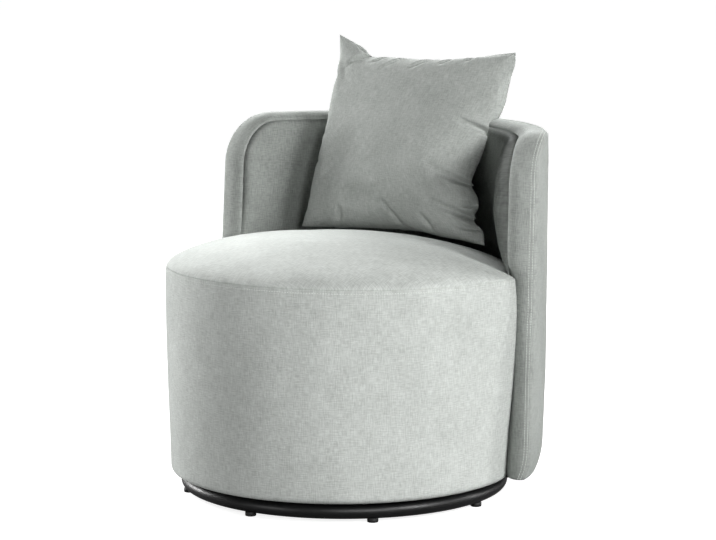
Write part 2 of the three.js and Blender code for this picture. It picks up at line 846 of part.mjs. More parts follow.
function backUpholstery(seat) {
  const clear = cover_thickness + gap;
  const inner_foam = panel(
    () => inner_foam_inner,
    () => inner_foam_outer,
    back_frame_inset,
    back_frame_bottom,
    inner_foam_level_shares,
    24,
  );
  add(seat, 'back_inner_foam', cut(inner_foam, backBoltHoles()), foam());
  const outer_foam = panel(
    () => outer_ply_outer + back_nap,
    (z) => Math.max(outer_ply_outer + 2 * back_nap, outerRadius(z) - clear - back_nap),
    back_frame_inset,
    back_frame_bottom,
    outer_foam_level_shares,
    24,
  );
  add(seat, 'back_outer_foam', outer_foam, foam());
  const inner_cover = panel(
    innerRadius,
    (z) => innerRadius(z) + cover_thickness,
    back_panel_inset,
    back_bottom,
    inner_level_shares,
    20,
  );
  add(seat, 'back_inner_cover', cut(inner_cover, backBoltHoles()), upholstery());
  const outer_cover = panel(
    (z) => outerRadius(z) - cover_thickness,
    outerRadius,
    back_panel_inset,
    back_bottom,
    [...outer_level_shares, 1],
    20,
  );
  add(seat, 'back_outer_cover', outer_cover, upholstery());
  add(seat, 'back_edge_band', bandSolid(), upholstery());
  const end = halfAngle(back_bottom) - back_panel_inset / back_outer_radius;
  const lining_inner = innerRadius(back_bottom) + cover_thickness + back_nap;
  const lining_outer = outerRadius(back_bottom) - cover_thickness - back_nap;
  const lining_top = back_bottom + back_lining_thickness;
  const strip = arcBlock(lining_inner, lining_outer, -end, end, back_bottom, lining_top, 24);
  add(seat, 'back_bottom_lining', strip, lining());
}

// Scatter cushion: knife-edged square with drawn-in sides, pointed corners and full belly
function cushionSeam(shares) {
  return new THREE.SplineCurve(shares.map(([across, up]) => new THREE.Vector2(across, up)));
}

const cushion_level_seams = [cushion_bottom_shares, cushion_top_shares].map(cushionSeam);
const cushion_upright_seams = [cushion_left_shares, cushion_right_shares].map(cushionSeam);

function cushionOutline(u, v) {
  const [across, up] = [(1 + u) / 2, (1 + v) / 2];
  const [bottom, top] = cushion_level_seams.map((seam) => seam.getPointAt(across));
  const [left, right] = cushion_upright_seams.map((seam) => seam.getPointAt(up));
  const [foot, head] = cushion_level_seams.map((seam) => {
    return seam.getPoint(0).lerp(seam.getPoint(1), across);
  });
  const at = bottom.lerp(top, up).add(left.lerp(right, across)).sub(foot.lerp(head, up));
  return [(cushion_width / 2) * at.x, (cushion_height / 2) * at.y];
}

function cushionSwell(u, v) {
  const belly = 1 - cushion_belly_share * v;
  return ((1 - u * u) * (1 - v * v)) ** cushion_swell_share * belly;
}

function cushionGrid(depth, rim, count, share) {
  const line = steps(count).map((s) => share * Math.sin((s - 0.5) * half_turn));
  return line.map((v) => line.map((u) => {
    const [x, z] = cushionOutline(u, v);
    return new THREE.Vector3(x, rim + depth * cushionSwell(u, v), z);
  }));
}

function mirrored(grid) {
  return grid.map((row) => row.map((p) => new THREE.Vector3(p.x, -p.y, p.z)));
}

function cushionFace(front) {
  const depth = cushion_depth / 2 - cushion_rim;
  const outer = cushionGrid(depth, cushion_rim, cushion_cells, 1);
  const inner = cushionGrid(depth - cover_thickness, gap / 2, cushion_cells, 1);
  return front ? slab(mirrored(inner), mirrored(outer)) : slab(outer, inner);
}

function cushionFill() {
  const depth = (cushion_depth / 2 - cushion_rim - cover_thickness) * cushion_fill_share;
  const back = cushionGrid(depth, -gap, cushion_fill_cells, cushion_fill_share);
  return slab(back, mirrored(back));
}

function cushionPlace(geometry, y, z) {
  geometry.rotateX(-cushion_lean * degree);
  geometry.rotateZ(cushion_turn * degree);
  geometry.translate(-cushion_aside, y, z);
  return geometry;
}

function seatSurface(x, y) {
  const share = Math.min(1, Math.hypot(x, y) / seam_radius);
  return seam_height + seat_crown * crownHeight(share) - seam_slope_share * y;
}

function settle() {
  const depth = cushion_depth / 2 - cushion_rim;
  const back = cushionGrid(depth, cushion_rim, cushion_rest_cells, 1).flat();
  const front = back.map((p) => new THREE.Vector3(p.x, -p.y, p.z));
  const cloud = new THREE.BufferGeometry().setFromPoints([...back, ...front]);
  const at = cushionPlace(cloud, 0, 0).attributes.position;
  const points = steps(at.count - 1).map((_, i) => new THREE.Vector3().fromBufferAttribute(at, i));
  let [y, z] = [0, seam_height + seat_crown + cushion_height];
  for (let round = 0; round < 6; round += 1) {
    const rise = points.map((p) => p.z - seatSurface(p.x, p.y + y));
    z = cushion_clearance - Math.min(...rise);
    const room = points.filter((p) => p.z + z < back_top + band_crown).map((p) => {
      const limit = innerRadius(p.z + z) - cushion_clearance - back_nap;
      return Math.sqrt(Math.max(0, limit ** 2 - p.x ** 2)) - p.y;
    });
    y = Math.min(...room);
  }
  return [y, z];
}

function cushion(loose) {
  const [y, z] = settle();
  add(loose, 'cushion_front_cover', cushionPlace(cushionFace(true), y, z), upholstery());
  add(loose, 'cushion_back_cover', cushionPlace(cushionFace(false), y, z), upholstery());
  add(loose, 'cushion_filling', cushionPlace(cushionFill(), y, z), foam());
}

const base = new THREE.Group();
base.position.y = axis_y;
base.rotation.z = base_turn * degree;
const turning = new THREE.Group();
turning.position.y = axis_y;
const seat = new THREE.Group();
seat.position.y = drum_y;
const loose = new THREE.Group();
loose.position.y = drum_y;

baseFrame(base);
bearing(base, turning);
frameBoards(seat);
posts(seat);
webbing(seat);
dustCover(seat);
drumUpholstery(seat);
backFrame(seat);
backUpholstery(seat);
cushion(loose);
group.add(base, turning, seat, loose);

export default group;
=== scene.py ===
import json
import math

import bmesh
import bpy
import numpy as np
from mathutils import Matrix, Vector, noise


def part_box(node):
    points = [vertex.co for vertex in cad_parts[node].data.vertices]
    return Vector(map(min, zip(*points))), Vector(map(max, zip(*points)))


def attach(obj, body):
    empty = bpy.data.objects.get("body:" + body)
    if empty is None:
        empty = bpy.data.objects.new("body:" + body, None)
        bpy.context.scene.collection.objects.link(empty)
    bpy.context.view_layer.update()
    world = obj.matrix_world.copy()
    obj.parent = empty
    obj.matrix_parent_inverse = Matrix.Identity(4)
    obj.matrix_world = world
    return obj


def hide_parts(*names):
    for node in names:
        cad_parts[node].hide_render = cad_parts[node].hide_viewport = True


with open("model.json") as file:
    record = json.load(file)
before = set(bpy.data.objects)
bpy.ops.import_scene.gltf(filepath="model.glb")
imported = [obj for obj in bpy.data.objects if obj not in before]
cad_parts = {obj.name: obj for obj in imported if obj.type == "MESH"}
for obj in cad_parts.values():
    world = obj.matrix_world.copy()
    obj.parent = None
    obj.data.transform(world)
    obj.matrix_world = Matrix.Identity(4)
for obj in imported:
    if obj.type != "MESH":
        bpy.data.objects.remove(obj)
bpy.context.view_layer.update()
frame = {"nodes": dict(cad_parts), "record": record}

# The photograph's camera, placed from the swivel axis. The sensor's width is in millimetres
IMAGE_WIDTH = 716
FOCAL_PIXELS = 2840
SENSOR_WIDTH = 36.0
CAMERA_DISTANCE = 4.9
CAMERA_HEIGHT = 1.13
CAMERA_PITCH = math.radians(8.65)
CAMERA_YAW = math.radians(0.28)
CHAIR_TURN = math.radians(38.3)

# Lamps, X right and Y away from the camera: name, place, aim, width and height, watts
LAMPS = (
    ("rear high", (0.0, 2.8, 2.4), (0, 0, 0.5), (1.6, 0.8), 114),
    ("left rear rim", (-2.6, 1.7, 1.3), (-0.1, 0, 0.35), (0.7, 2.2), 127),
    ("right rim", (3.2, 0.9, 1.0), (0.1, 0, 0.4), (0.7, 1.6), 41),
    ("right key", (2.9, -2.3, 1.9), (0, 0, 0.4), (1.0, 1.2), 104),
    ("front key", (1.4, -3.7, 1.4), (0, 0, 0.4), (1.0, 1.2), 34),
    ("left low fill", (-2.6, -2.2, 0.6), (0, 0, 0.35), (1.0, 0.9), 16),
    ("front fill", (0.3, -4.6, 1.9), (0, 0, 0.4), (1.2, 1.2), 41),
)
LAMPS_OFF_INNER_BACK = ("rear high", "left rear rim", "left low fill", "front fill")
WORLD_LIGHT = 0.01
WHITE = 1.0

# The floor glows white to the camera, a little less close to the chair
FLOOR_HALF_SIZE = 60.0
FLOOR_GREY = (0.5, 0.5, 0.5, 1)
FLOOR_BOUNCE = (0.25, 0.25, 0.25, 1)
FLOOR_REACH = (0.45, 2.2)
FLOOR_GLOW = (0.84, 1.0)


def middle(node):
    low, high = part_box(node)
    return (low + high) / 2


def half_width(node):
    low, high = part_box(node)
    return (high.x - low.x) / 2


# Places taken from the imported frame
AXIS_Y = middle("base_ring").y
DRUM_Y = middle("drum_side_cover").y
DRUM_RADIUS = half_width("drum_side_cover")
FABRIC_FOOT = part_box("drum_side_cover")[0].z
BACK_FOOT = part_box("back_edge_band")[0].z
BACK_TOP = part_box("back_edge_band")[1].z
BACK_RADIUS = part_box("back_outer_cover")[1].y - DRUM_Y

# A point in the drum that the covers face away from
INSIDE = Vector((0, DRUM_Y, 0.25))

# Cloth and seams
CLOTH = 0.0015
LINING_THICKNESS = 0.0012
SEAM_DIP = 0.0024
SEAM_ROLL = 0.0045
SEAM_CURVE = 1.5

# Drum
SEAM_HEIGHT = 0.392
SEAM_RADIUS = 0.304
SEAM_STEP = 0.0008
SEAM_SLOPE = 0.0244
SLOPE_DEPTH = 0.038
DRUM_WIDEST = 0.355
DRUM_TAPER = 0.0065
DRUM_TAPER_CURVE = 1.5
DRUM_ROUND = 0.010
DRUM_TOP_EDGE = 0.012
HEM_HEIGHT = 0.012
HEM_SPREAD = 0.014
HEM_FOLDS = 9

# The drum's padding swells out just in front of each arm
BULGE = 0.021
BULGE_HEIGHT = 0.31
BULGE_SPREAD = 0.20
BULGE_START = math.radians(1.5)
BULGE_AHEAD = math.radians(13)
BULGE_BEHIND = math.radians(3.2)

# Seat top, fuller along its front edge than behind, where the back presses on it
SEAT_CROWN = 0.058
CROWN_FULLNESS = 2.2
CROWN_EDGE = 0.62
CROWN_EDGE_BY_BACK = 0.92
REAR_REACH = math.radians(62)
REAR_FADE = math.radians(34)

# Edges turned in at the seam, inwards and down from it, and the hem turned under
SEAT_TUCK = ((0.0005, 0.0004), (0.0019, 0.0015), (0.0040, 0.0045))
DRUM_TUCK = ((0.0024, 0.0016), (0.0080, 0.0034))
DRUM_SEAM_GAP = 0.0004
DRUM_TURN_UNDER = (0.014, 0.030)

# Small waves in the cloth: height, scale and seed
SEAT_WAVES = ((0.0016, 7.0, 3.1), (0.0007, 19.0, 8.3))
DRUM_WAVES = ((0.0011, 2.4, 5.2), (0.0005, 7.0, 1.7))
HEM_WAVES = ((0.0007, 4.0, 2.9),)
INNER_BACK_WAVES = ((0.0016, 6.5, 5.4), (0.0006, 21.0, 7.9))
OUTER_BACK_WAVES = ((0.0016, 6.5, 3.4), (0.0006, 21.0, 7.9))
BAND_WAVES = ((0.0007, 17.0, 2.2), (0.0005, 60.0, 6.1))
BAND_WAVE_WIDTH = 0.05
SEAT_WAVE_FADE = 0.03
DRUM_TOP_FADE = 0.02
DRUM_FOOT_FADE = 0.01
DRUM_WAVE_STRETCH = 2.2
BACK_WAVE_FADE = 0.05

# Back shell
BACK_INNER = 0.305
BACK_HALF_ANGLE = math.radians(75.8)
BACK_SPLAY = math.radians(1.4)
BACK_SPLAY_HEIGHT = 0.150
BACK_HEEL = math.radians(1.0)
BACK_HEEL_HEIGHT = 0.24
BACK_HEEL_CURVE = 1.5
BACK_CORNER = 0.094
BACK_TUCK = 0.0055
BACK_TUCK_HEIGHT = 0.240
BACK_TUCK_CURVE = 1.6
BACK_TOE = 0.011
BACK_TOE_HEIGHT = 0.060
BACK_TOE_CURVE = 2.4
BACK_NAP = 0.0012
BACK_FLARE = 0.060
BACK_UNROLL_RADIUS = 0.34
BACK_SEAM_ROWS = (0, 0.001, 0.0025, 0.0045, 0.007, 0.011, 0.016, 0.022, 0.030)

# The right arm's outer edge sits a little further back above the seat
RIGHT_EDGE_SET = math.radians(2.0)
RIGHT_EDGE_START = 0.22
RIGHT_EDGE_RISE = 0.16
RIGHT_EDGE_FADE = 0.06
RIGHT_EDGE_REACH = 0.9
RIGHT_EDGE_CURVE = 1.5

# Padding of the back's inner panel
INNER_PAD = 0.030
INNER_PAD_ROLL = 0.018
INNER_PAD_START = 0.010
INNER_PAD_FULL = 0.45
INNER_PAD_THINNING = 0.18
LEFT_PAD_SHARE = 0.4

# Edge band, pressed back along its inner edge by the drum
BAND_CROWN = 0.012
BAND_OUTER_CROWN = 0.005
BAND_FULLNESS = 2.2
BAND_OUTER_FULLNESS = 3.6
BAND_SQUEEZE = 0.029
BAND_SQUEEZE_SHARE = 0.75
BAND_SQUEEZE_CURVE = 1.8
BAND_SQUEEZE_FADE = 0.05
BAND_SQUEEZE_BELOW_SEAM = 0.02
BAND_FOOT_SQUEEZE = 0.75
BAND_FOOT_REACH = 0.15

# Linings out of sight
LINING_MARGIN = 0.016
DUST_COVER_HOLE = 0.152
DUST_COVER_SAG = 0.0012

# Stitches
STITCH_PITCH = 0.0046
STITCH_LENGTH = 0.0039
STITCH_RADIUS = 0.0006
STITCH_END = 0.35
STITCH_RISE = 0.9
STITCH_SINK = 0.55
SEAT_STITCH_DROP = 0.0052
BAND_STITCH_ROWS = (0.0055, 0.0105)

# Scatter cushion, drawn in its own plane: metres across and up from the middle of its foot
CUSHION_FOOT = Vector((-0.0219, 0.1635 + AXIS_Y, 0.424))
CUSHION_TURN = math.radians(4.5)
CUSHION_LEAN = math.radians(17.5)
CUSHION_SEAMS = {
    "bottom": [
        (-0.1955, 0.003), (-0.115, 0.008), (-0.023, 0.013), (0.053, 0.014),
        (0.099, 0.008), (0.159, 0.003), (0.196, -0.002),
    ],
    "top": [
        (-0.185, 0.366), (-0.152, 0.353), (-0.128, 0.343), (-0.110, 0.329), (-0.0725, 0.328),
        (0.0225, 0.327), (0.0675, 0.329), (0.111, 0.334), (0.154, 0.3425), (0.194, 0.348),
    ],
    "left": [
        (-0.1955, 0.003), (-0.184, 0.050), (-0.175, 0.100), (-0.170, 0.160),
        (-0.168, 0.220), (-0.169, 0.280), (-0.176, 0.325), (-0.185, 0.366),
    ],
    "right": [
        (0.196, -0.002), (0.188, 0.022), (0.164, 0.044), (0.170, 0.070), (0.165, 0.083),
        (0.147, 0.106), (0.150, 0.140), (0.163, 0.182), (0.171, 0.200), (0.184, 0.260),
        (0.193, 0.300), (0.197, 0.330), (0.194, 0.348),
    ],
}
# Creases run in from the seams: start, end, half width and depth
CUSHION_CREASES = [
    ((-0.026, 0.323), (-0.058, 0.291), 0.005, 0.008),
    ((0.033, 0.324), (0.000, 0.288), 0.0055, 0.008),
    ((0.077, 0.326), (0.058, 0.298), 0.005, 0.008),
    ((-0.070, 0.324), (-0.092, 0.300), 0.005, 0.007),
    ((0.118, 0.331), (0.106, 0.306), 0.0055, 0.005),
    ((-0.108, 0.329), (-0.142, 0.300), 0.006, 0.011),
    ((0.172, 0.200), (0.144, 0.206), 0.0055, 0.013),
    ((0.160, 0.203), (0.112, 0.216), 0.007, 0.005),
    ((0.168, 0.192), (0.146, 0.160), 0.006, 0.007),
    ((0.149, 0.106), (0.118, 0.112), 0.0062, 0.017),
    ((0.125, 0.111), (0.070, 0.132), 0.007, 0.004),
    ((0.166, 0.068), (0.138, 0.066), 0.0055, 0.010),
    ((0.164, 0.046), (0.130, 0.056), 0.0062, 0.016),
    ((0.140, 0.054), (0.080, 0.074), 0.007, 0.005),
    ((0.180, 0.026), (0.128, 0.036), 0.0055, 0.007),
    ((0.010, 0.054), (0.038, 0.020), 0.006, 0.005),
    ((-0.092, 0.040), (-0.106, 0.012), 0.006, 0.005),
    ((0.080, 0.040), (0.100, 0.012), 0.006, 0.005),
    ((-0.176, 0.110), (-0.140, 0.124), 0.006, 0.005),
    ((-0.172, 0.170), (-0.145, 0.176), 0.006, 0.004),
]
CREASE_BEFORE_FILLING = 0.6
CREASE_AFTER_FILLING = 1.1
CREASE_TIGHTENING = 0.85
CREASE_SWAY = 0.35
CREASE_SWAY_RATE = 3.1
CREASE_RIDGE = 0.8
CREASE_SPREAD = 0.75
CREASE_LEAD = 0.25
CREASE_LEAD_FADE = 0.35
CREASE_TAIL_FADE = 0.75
CUSHION_CELLS = 108
CUSHION_CROWDING = 0.6
CUSHION_CUT = 0.21
CUSHION_FRONT = 0.063
CUSHION_BACK = 0.053
CUSHION_BELLY = 0.26
CUSHION_FULLNESS = 0.75
CREASE_RIM_FADE = 6
CUSHION_FRAMES = 20
CUSHION_LIMIT = 0.022
CUSHION_CLOTH = {
    "quality": 5,
    "mass": 0.3,
    "tension_stiffness": 15,
    "compression_stiffness": 15,
    "shear_stiffness": 4.5,
    "bending_stiffness": 0.5,
    "use_pressure": True,
    "uniform_pressure_force": 3.0,
    "shrink_min": -0.03,
    "shrink_max": -0.03,
}
CUSHION_SEAT_GAP = 0.0012
CUSHION_BACK_GAP = 0.0022
CUSHION_BACK_TOP_EASE = 0.004

# Fabrics: pale and deep colours of the weave, 0 to 255, and a seed for the nap
FABRICS = {
    "chair_fabric": ((218, 222, 218), (168, 172, 168), 1),
    # The back's colours are the seat's cloth made darker: painted shade
    "back_fabric": ((180, 184, 180), (132, 136, 132), 2),
    # The cushion's colours are the seat's cloth made darker: painted shade
    "cushion_fabric": ((194, 198, 194), (147, 151, 147), 3),
}
EVEN = (1, 1, 1)
WARP = (560, 66, 1)
WEFT = (74, 590, 1)
THREAD_RANGE = (0.74, 1.26)
NAP_SCALES = (5.2, 5.2, 4.1)
NAP_SEED_STEP = 0.3
NAP_RANGE = (0.34, 0.66)
MARK_SCALE = 26.0
MARK_RANGE = (0.35, 0.65)
NAP_SHARE = 0.26
THREAD_SHARE = 0.60
MARK_SHARE = 0.14
SHEEN = 0.35
SHEEN_TINT = (0.95, 1.0, 0.97, 1.0)

# Other finishes: pale and deep colours, roughness, metallic, grain scale, bump, grain stretch
PLAIN_FINISHES = {
    "thread": ((226, 231, 226), (205, 211, 205), 0.7, 0, 900, 0.1),
    "black_steel": ((13, 13, 14), (8, 8, 9), 0.42, 0, 180, 0.15),
    "glide_plastic": ((26, 26, 26), (18, 18, 18), 0.6, 0, 300, 0.1),
    "zinc_steel": ((196, 198, 200), (160, 163, 166), 0.34, 1, 120, 0.1),
    "bearing_steel": ((214, 216, 218), (190, 192, 195), 0.16, 1, 200, 0.1),
    "bush_plastic": ((232, 229, 218), (220, 216, 204), 0.42, 0, 150, 0.1),
    "plywood": ((214, 184, 138), (176, 142, 98), 0.7, 0, 9, 0.25, (1, 9, 1)),
    "softwood": ((222, 190, 142), (190, 152, 104), 0.72, 0, 8, 0.25, (10, 10, 1)),
    "fibreboard": ((150, 120, 88), (122, 94, 66), 0.9, 0, 240, 0.35),
    "webbing": ((70, 64, 54), (48, 43, 36), 0.9, 0, 500, 0.5, (1, 6, 1)),
    "lining": ((40, 40, 40), (26, 26, 26), 0.95, 0, 420, 0.4),
    "foam": ((236, 224, 184), (216, 202, 158), 0.97, 0, 320, 0.5),
    "filling": ((240, 240, 236), (222, 222, 217), 0.97, 0, 200, 0.5),
}


# Shared forms
def smooth(t):
    t = np.clip(t, 0.0, 1.0)
    return t * t * (3 - 2 * t)


def wander(x, y, z, scale, seed):
    """Smooth noise at a place. Each seed moves to another part of the same noise."""
    return noise.noise(Vector((x * scale + seed, y * scale - seed, z * scale + 0.37 * seed)))


def ripples(points, waves):
    """Heights of small waves at an array of points."""
    flat = points.reshape(-1, 3)
    total = 0
    for height, scale, seed in waves:
        values = [wander(p[0], p[1], p[2], scale, seed) for p in flat]
        total = total + height * np.array(values).reshape(points.shape[:-1])
    return total


def mesh_object(name, verts, faces, uvs=None):
    mesh = bpy.data.meshes.new(name)
    mesh.from_pydata([tuple(v) for v in verts], [], faces)
    if uvs is not None:
        layer = mesh.uv_layers.new(name="cloth")
        loops = np.empty(len(mesh.loops), dtype=np.int32)
        mesh.loops.foreach_get("vertex_index", loops)
        layer.data.foreach_set("uv", np.asarray(uvs, dtype=np.float32)[loops].ravel())
    mesh.polygons.foreach_set("use_smooth", [True] * len(mesh.polygons))
    mesh.update()
    obj = bpy.data.objects.new(name, mesh)
    bpy.context.scene.collection.objects.link(obj)
    return obj


def grid_faces(rows, columns, closed=False):
    """Faces between rows of points. A closed grid joins its last column to its first."""
    faces = []
    last = columns if closed else columns - 1
    for i in range(rows - 1):
        for j in range(last):
            k = (j + 1) % columns
            a, b = i * columns + j, i * columns + k
            faces.append((a, b, b + columns, a + columns))
    return faces


def shifted(faces, step):
    return [tuple(i + step for i in face) for face in faces]


def thicken(obj, thickness, offset=-1.0):
    """Gives a sheet its thickness, inwards unless the offset says otherwise."""
    solid = obj.modifiers.new("cloth thickness", "SOLIDIFY")
    solid.thickness = thickness
    solid.offset = offset
    return obj


def outward_normals(obj, centre):
    mesh = obj.data
    if sum(poly.normal.dot(poly.center - centre) * poly.area for poly in mesh.polygons) < 0:
        mesh.flip_normals()
    return obj


def weld(obj, distance=1e-5):
    mesh = bmesh.new()
    mesh.from_mesh(obj.data)
    bmesh.ops.remove_doubles(mesh, verts=mesh.verts, dist=distance)
    mesh.to_mesh(obj.data)
    mesh.free()


# Drum and seat, as heights and radii round the drum's middle
def drum_radius(z):
    """Widest under the seam, tapering down to a rolled foot and curving in to the seam."""
    fall = np.maximum(0.0, (DRUM_WIDEST - z) / (DRUM_WIDEST - FABRIC_FOOT))
    body = DRUM_RADIUS - DRUM_TAPER * fall**DRUM_TAPER_CURVE
    low = np.clip(1 - (z - FABRIC_FOOT) / DRUM_ROUND, 0.0, 1.0)
    roll = DRUM_ROUND * (1 - np.sqrt(1 - low * low))
    high = np.maximum(0.0, (z - DRUM_WIDEST) / (SEAM_HEIGHT - DRUM_WIDEST))
    return body - roll - (DRUM_RADIUS - SEAM_RADIUS - SEAM_STEP) * high**2


def turned_from_rear(angle):
    """Size of an angle to either side of the rear, up to half a turn."""
    return np.abs((angle + math.pi) % (2 * math.pi) - math.pi)


def rear_share(angle):
    """1 behind the sitter, where the back presses on the seat's edge, and 0 in front."""
    return 1 - smooth((turned_from_rear(angle) - REAR_REACH) / REAR_FADE)


def drum_bulge(angle, z):
    """How far the drum's padding swells out just in front of each arm."""
    ahead = turned_from_rear(angle) - (half_angle(z) - BULGE_START)
    spread = np.where(ahead > 0, BULGE_AHEAD, BULGE_BEHIND)
    height = np.exp(-(((z - BULGE_HEIGHT) / BULGE_SPREAD) ** 2))
    return BULGE * height * np.exp(-((ahead / spread) ** 2))


def crown(share, angle):
    """Height of the seat's crown, from 1 in the middle to 0 at the seam."""
    edge = CROWN_EDGE + (CROWN_EDGE_BY_BACK - CROWN_EDGE) * rear_share(angle)
    return np.maximum(0.0, 1 - share**CROWN_FULLNESS) ** edge


def slope_drop(y, z):
    """The seam dips towards the back, and the drum's side follows it near the top."""
    start = SEAM_HEIGHT - SLOPE_DEPTH
    return SEAM_SLOPE * y * np.clip((z - start) / (SEAM_HEIGHT - start), 0.0, 1.0)


def seat_height(x, y):
    """Top of the seat over a point given from the drum's middle."""
    share = np.minimum(1.0, np.hypot(x, y) / SEAM_RADIUS)
    return SEAM_HEIGHT + SEAT_CROWN * crown(share, np.arctan2(x, y)) - SEAM_SLOPE * y


def turned_in(r, z, a, tuck):
    """Adds the rings of an edge that is turned in at the seam."""
    for inwards, down in tuck:
        r = np.vstack([r, np.full_like(a[:1], SEAM_RADIUS - inwards)])
        z = np.vstack([z, np.full_like(a[:1], SEAM_HEIGHT - down)])
        a = np.vstack([a, a[:1]])
    return r, z, a


def make_seat_top():
    """The crowned top, in rings from a hub to the seam, closer together near the seam."""
    around, middle_rings, edge_rings = 220, 34, 17
    hub, edge_width, crowding, swell_curve = 0.02, 0.1, 1.8, 6
    angles = np.linspace(0, 2 * math.pi, around, endpoint=False)
    middle_shares = np.linspace(hub, 1 - edge_width, middle_rings)
    edge_shares = 1 - edge_width * (1 - np.linspace(0, 1, edge_rings)[1:]) ** crowding
    s, a = np.meshgrid(np.concatenate([middle_shares, edge_shares]), angles, indexing="ij")
    r, z, a = turned_in(SEAM_RADIUS * s, SEAM_HEIGHT + SEAT_CROWN * crown(s, a), a, SEAT_TUCK)
    x, y = r * np.sin(a), r * np.cos(a)
    points = np.stack([x, y, z - SEAM_SLOPE * y], -1)
    points[..., 2] += ripples(points, SEAT_WAVES) * smooth((SEAM_RADIUS - r) / SEAT_WAVE_FADE)
    swell = drum_bulge(a, np.full_like(a, SEAM_HEIGHT))
    swell = swell * np.clip(r / SEAM_RADIUS, 0, 1) ** swell_curve
    points[..., 0] += swell * np.sin(a)
    points[..., 1] += swell * np.cos(a)
    points[..., 1] += DRUM_Y
    verts = np.vstack([[[0.0, DRUM_Y, SEAM_HEIGHT + SEAT_CROWN]], points.reshape(-1, 3)])
    faces = shifted(grid_faces(len(points), around, closed=True), 1)
    faces += [(0, 1 + (j + 1) % around, 1 + j) for j in range(around)]
    obj = mesh_object("seat_top_panel", verts, faces, verts[:, :2])
    return thicken(outward_normals(obj, INSIDE), CLOTH)


def drum_levels():
    """Heights of the drum's rings, closer together in the rolls at its foot and its top."""
    foot_rings, side_rings, top_rings, crowding = 9, 44, 8, 1.5
    foot = FABRIC_FOOT + DRUM_ROUND * (1 - np.cos(np.linspace(0, math.pi / 2, foot_rings)))
    side = np.linspace(foot[-1], SEAM_HEIGHT - DRUM_TOP_EDGE, side_rings)[1:]
    top = SEAM_HEIGHT - DRUM_TOP_EDGE * (1 - np.linspace(0, 1, top_rings)[1:]) ** crowding
    return np.concatenate([foot, side, top])


def make_drum_side():
    """The side panel, turned under at its foot and turned in at the seam."""
    around = 300
    z, a = np.meshgrid(drum_levels(), np.linspace(0, 2 * math.pi, around + 1), indexing="ij")
    r = drum_radius(z)
    z[-1] -= DRUM_SEAM_GAP
    r, z, a = turned_in(r, z, a, DRUM_TUCK)
    foot_radius = r[0]
    for inwards in DRUM_TURN_UNDER:
        r = np.vstack([foot_radius - inwards, r])
        z = np.vstack([z[:1], z])
        a = np.vstack([a[:1], a])
    circle = np.stack([np.sin(a), np.cos(a), z * DRUM_WAVE_STRETCH], -1)
    circle[:, -1] = circle[:, 0]
    folds = np.stack([np.sin(a) * HEM_FOLDS, np.cos(a) * HEM_FOLDS, z], -1)
    hem = np.exp(-((z - FABRIC_FOOT - HEM_HEIGHT) / HEM_SPREAD) ** 2)
    fade = smooth((SEAM_HEIGHT - z) / DRUM_TOP_FADE) * smooth((z - FABRIC_FOOT) / DRUM_FOOT_FADE)
    slack = ripples(circle, DRUM_WAVES) * fade + ripples(folds, HEM_WAVES) * hem
    r = r + slack + drum_bulge(a, z)
    x, y = r * np.sin(a), r * np.cos(a)
    points = np.stack([x, y + DRUM_Y, z - slope_drop(y, z)], -1)
    uvs = np.stack([a * DRUM_RADIUS, z], -1).reshape(-1, 2)
    obj = mesh_object("drum_side_panel", points.reshape(-1, 3), grid_faces(*a.shape), uvs)
    weld(obj)
    return thicken(outward_normals(obj, INSIDE), CLOTH)


# Back shell, by the angle from the rear and the height
def half_angle(z):
    """Angle of each arm's end, wider below the corner and drawn in at the foot."""
    share = np.clip((BACK_TOP - BACK_CORNER - z) / BACK_SPLAY_HEIGHT, 0.0, 1.0)
    low = np.clip(1 - (z - BACK_FOOT) / BACK_HEEL_HEIGHT, 0.0, 1.0)
    return BACK_HALF_ANGLE + BACK_SPLAY * share - BACK_HEEL * low**BACK_HEEL_CURVE


def inner_radius(z):
    """The back's inner face, which lies on the drum and flares in above the seam."""
    close = drum_radius(np.clip(z, FABRIC_FOOT + DRUM_ROUND, DRUM_WIDEST)) + BACK_NAP
    return close + (BACK_INNER - close) * smooth((z - SEAM_HEIGHT) / BACK_FLARE)


def outer_radius(z):
    """The back's outer face, which tucks in towards its foot."""
    high = np.maximum(0.0, 1 - (z - BACK_FOOT) / BACK_TUCK_HEIGHT)
    low = np.maximum(0.0, 1 - (z - BACK_FOOT) / BACK_TOE_HEIGHT)
    return BACK_RADIUS - BACK_TUCK * high**BACK_TUCK_CURVE - BACK_TOE * low**BACK_TOE_CURVE


def set_back(angle, z, share=1.0):
    """Takes the right arm's outer edge back. The share runs from the inner edge to the outer."""
    high = smooth((z - RIGHT_EDGE_START) / RIGHT_EDGE_RISE)
    high = high * (1 - smooth((z - BACK_TOP + BACK_CORNER) / RIGHT_EDGE_FADE))
    ahead = smooth(angle / BACK_HALF_ANGLE / RIGHT_EDGE_REACH)
    return angle - RIGHT_EDGE_SET * high * ahead * share**RIGHT_EDGE_CURVE


def inner_pad(z, edge):
    """Plump padding of the inner panel above the seat, rolled off towards its seam."""
    roll = np.clip(edge / INNER_PAD_ROLL, 0.0, 1.0)
    low, high = SEAM_HEIGHT + INNER_PAD_START, BACK_TOP - BAND_CROWN
    rise = np.clip((z - low) / (high - low), 0.0, 1.0)
    past = np.maximum(0.0, rise - INNER_PAD_FULL) / (1 - INNER_PAD_FULL)
    belly = np.sqrt(np.clip(rise / INNER_PAD_FULL, 0.0, 1.0)) * (1 - INNER_PAD_THINNING * past)
    return INNER_PAD * np.sqrt(1 - (1 - roll) ** 2) * belly


def pad_share(angle):
    """The padding is thinner on the left arm than on the right."""
    return LEFT_PAD_SHARE + (1 - LEFT_PAD_SHARE) * smooth((angle / BACK_HALF_ANGLE + 1) / 2)


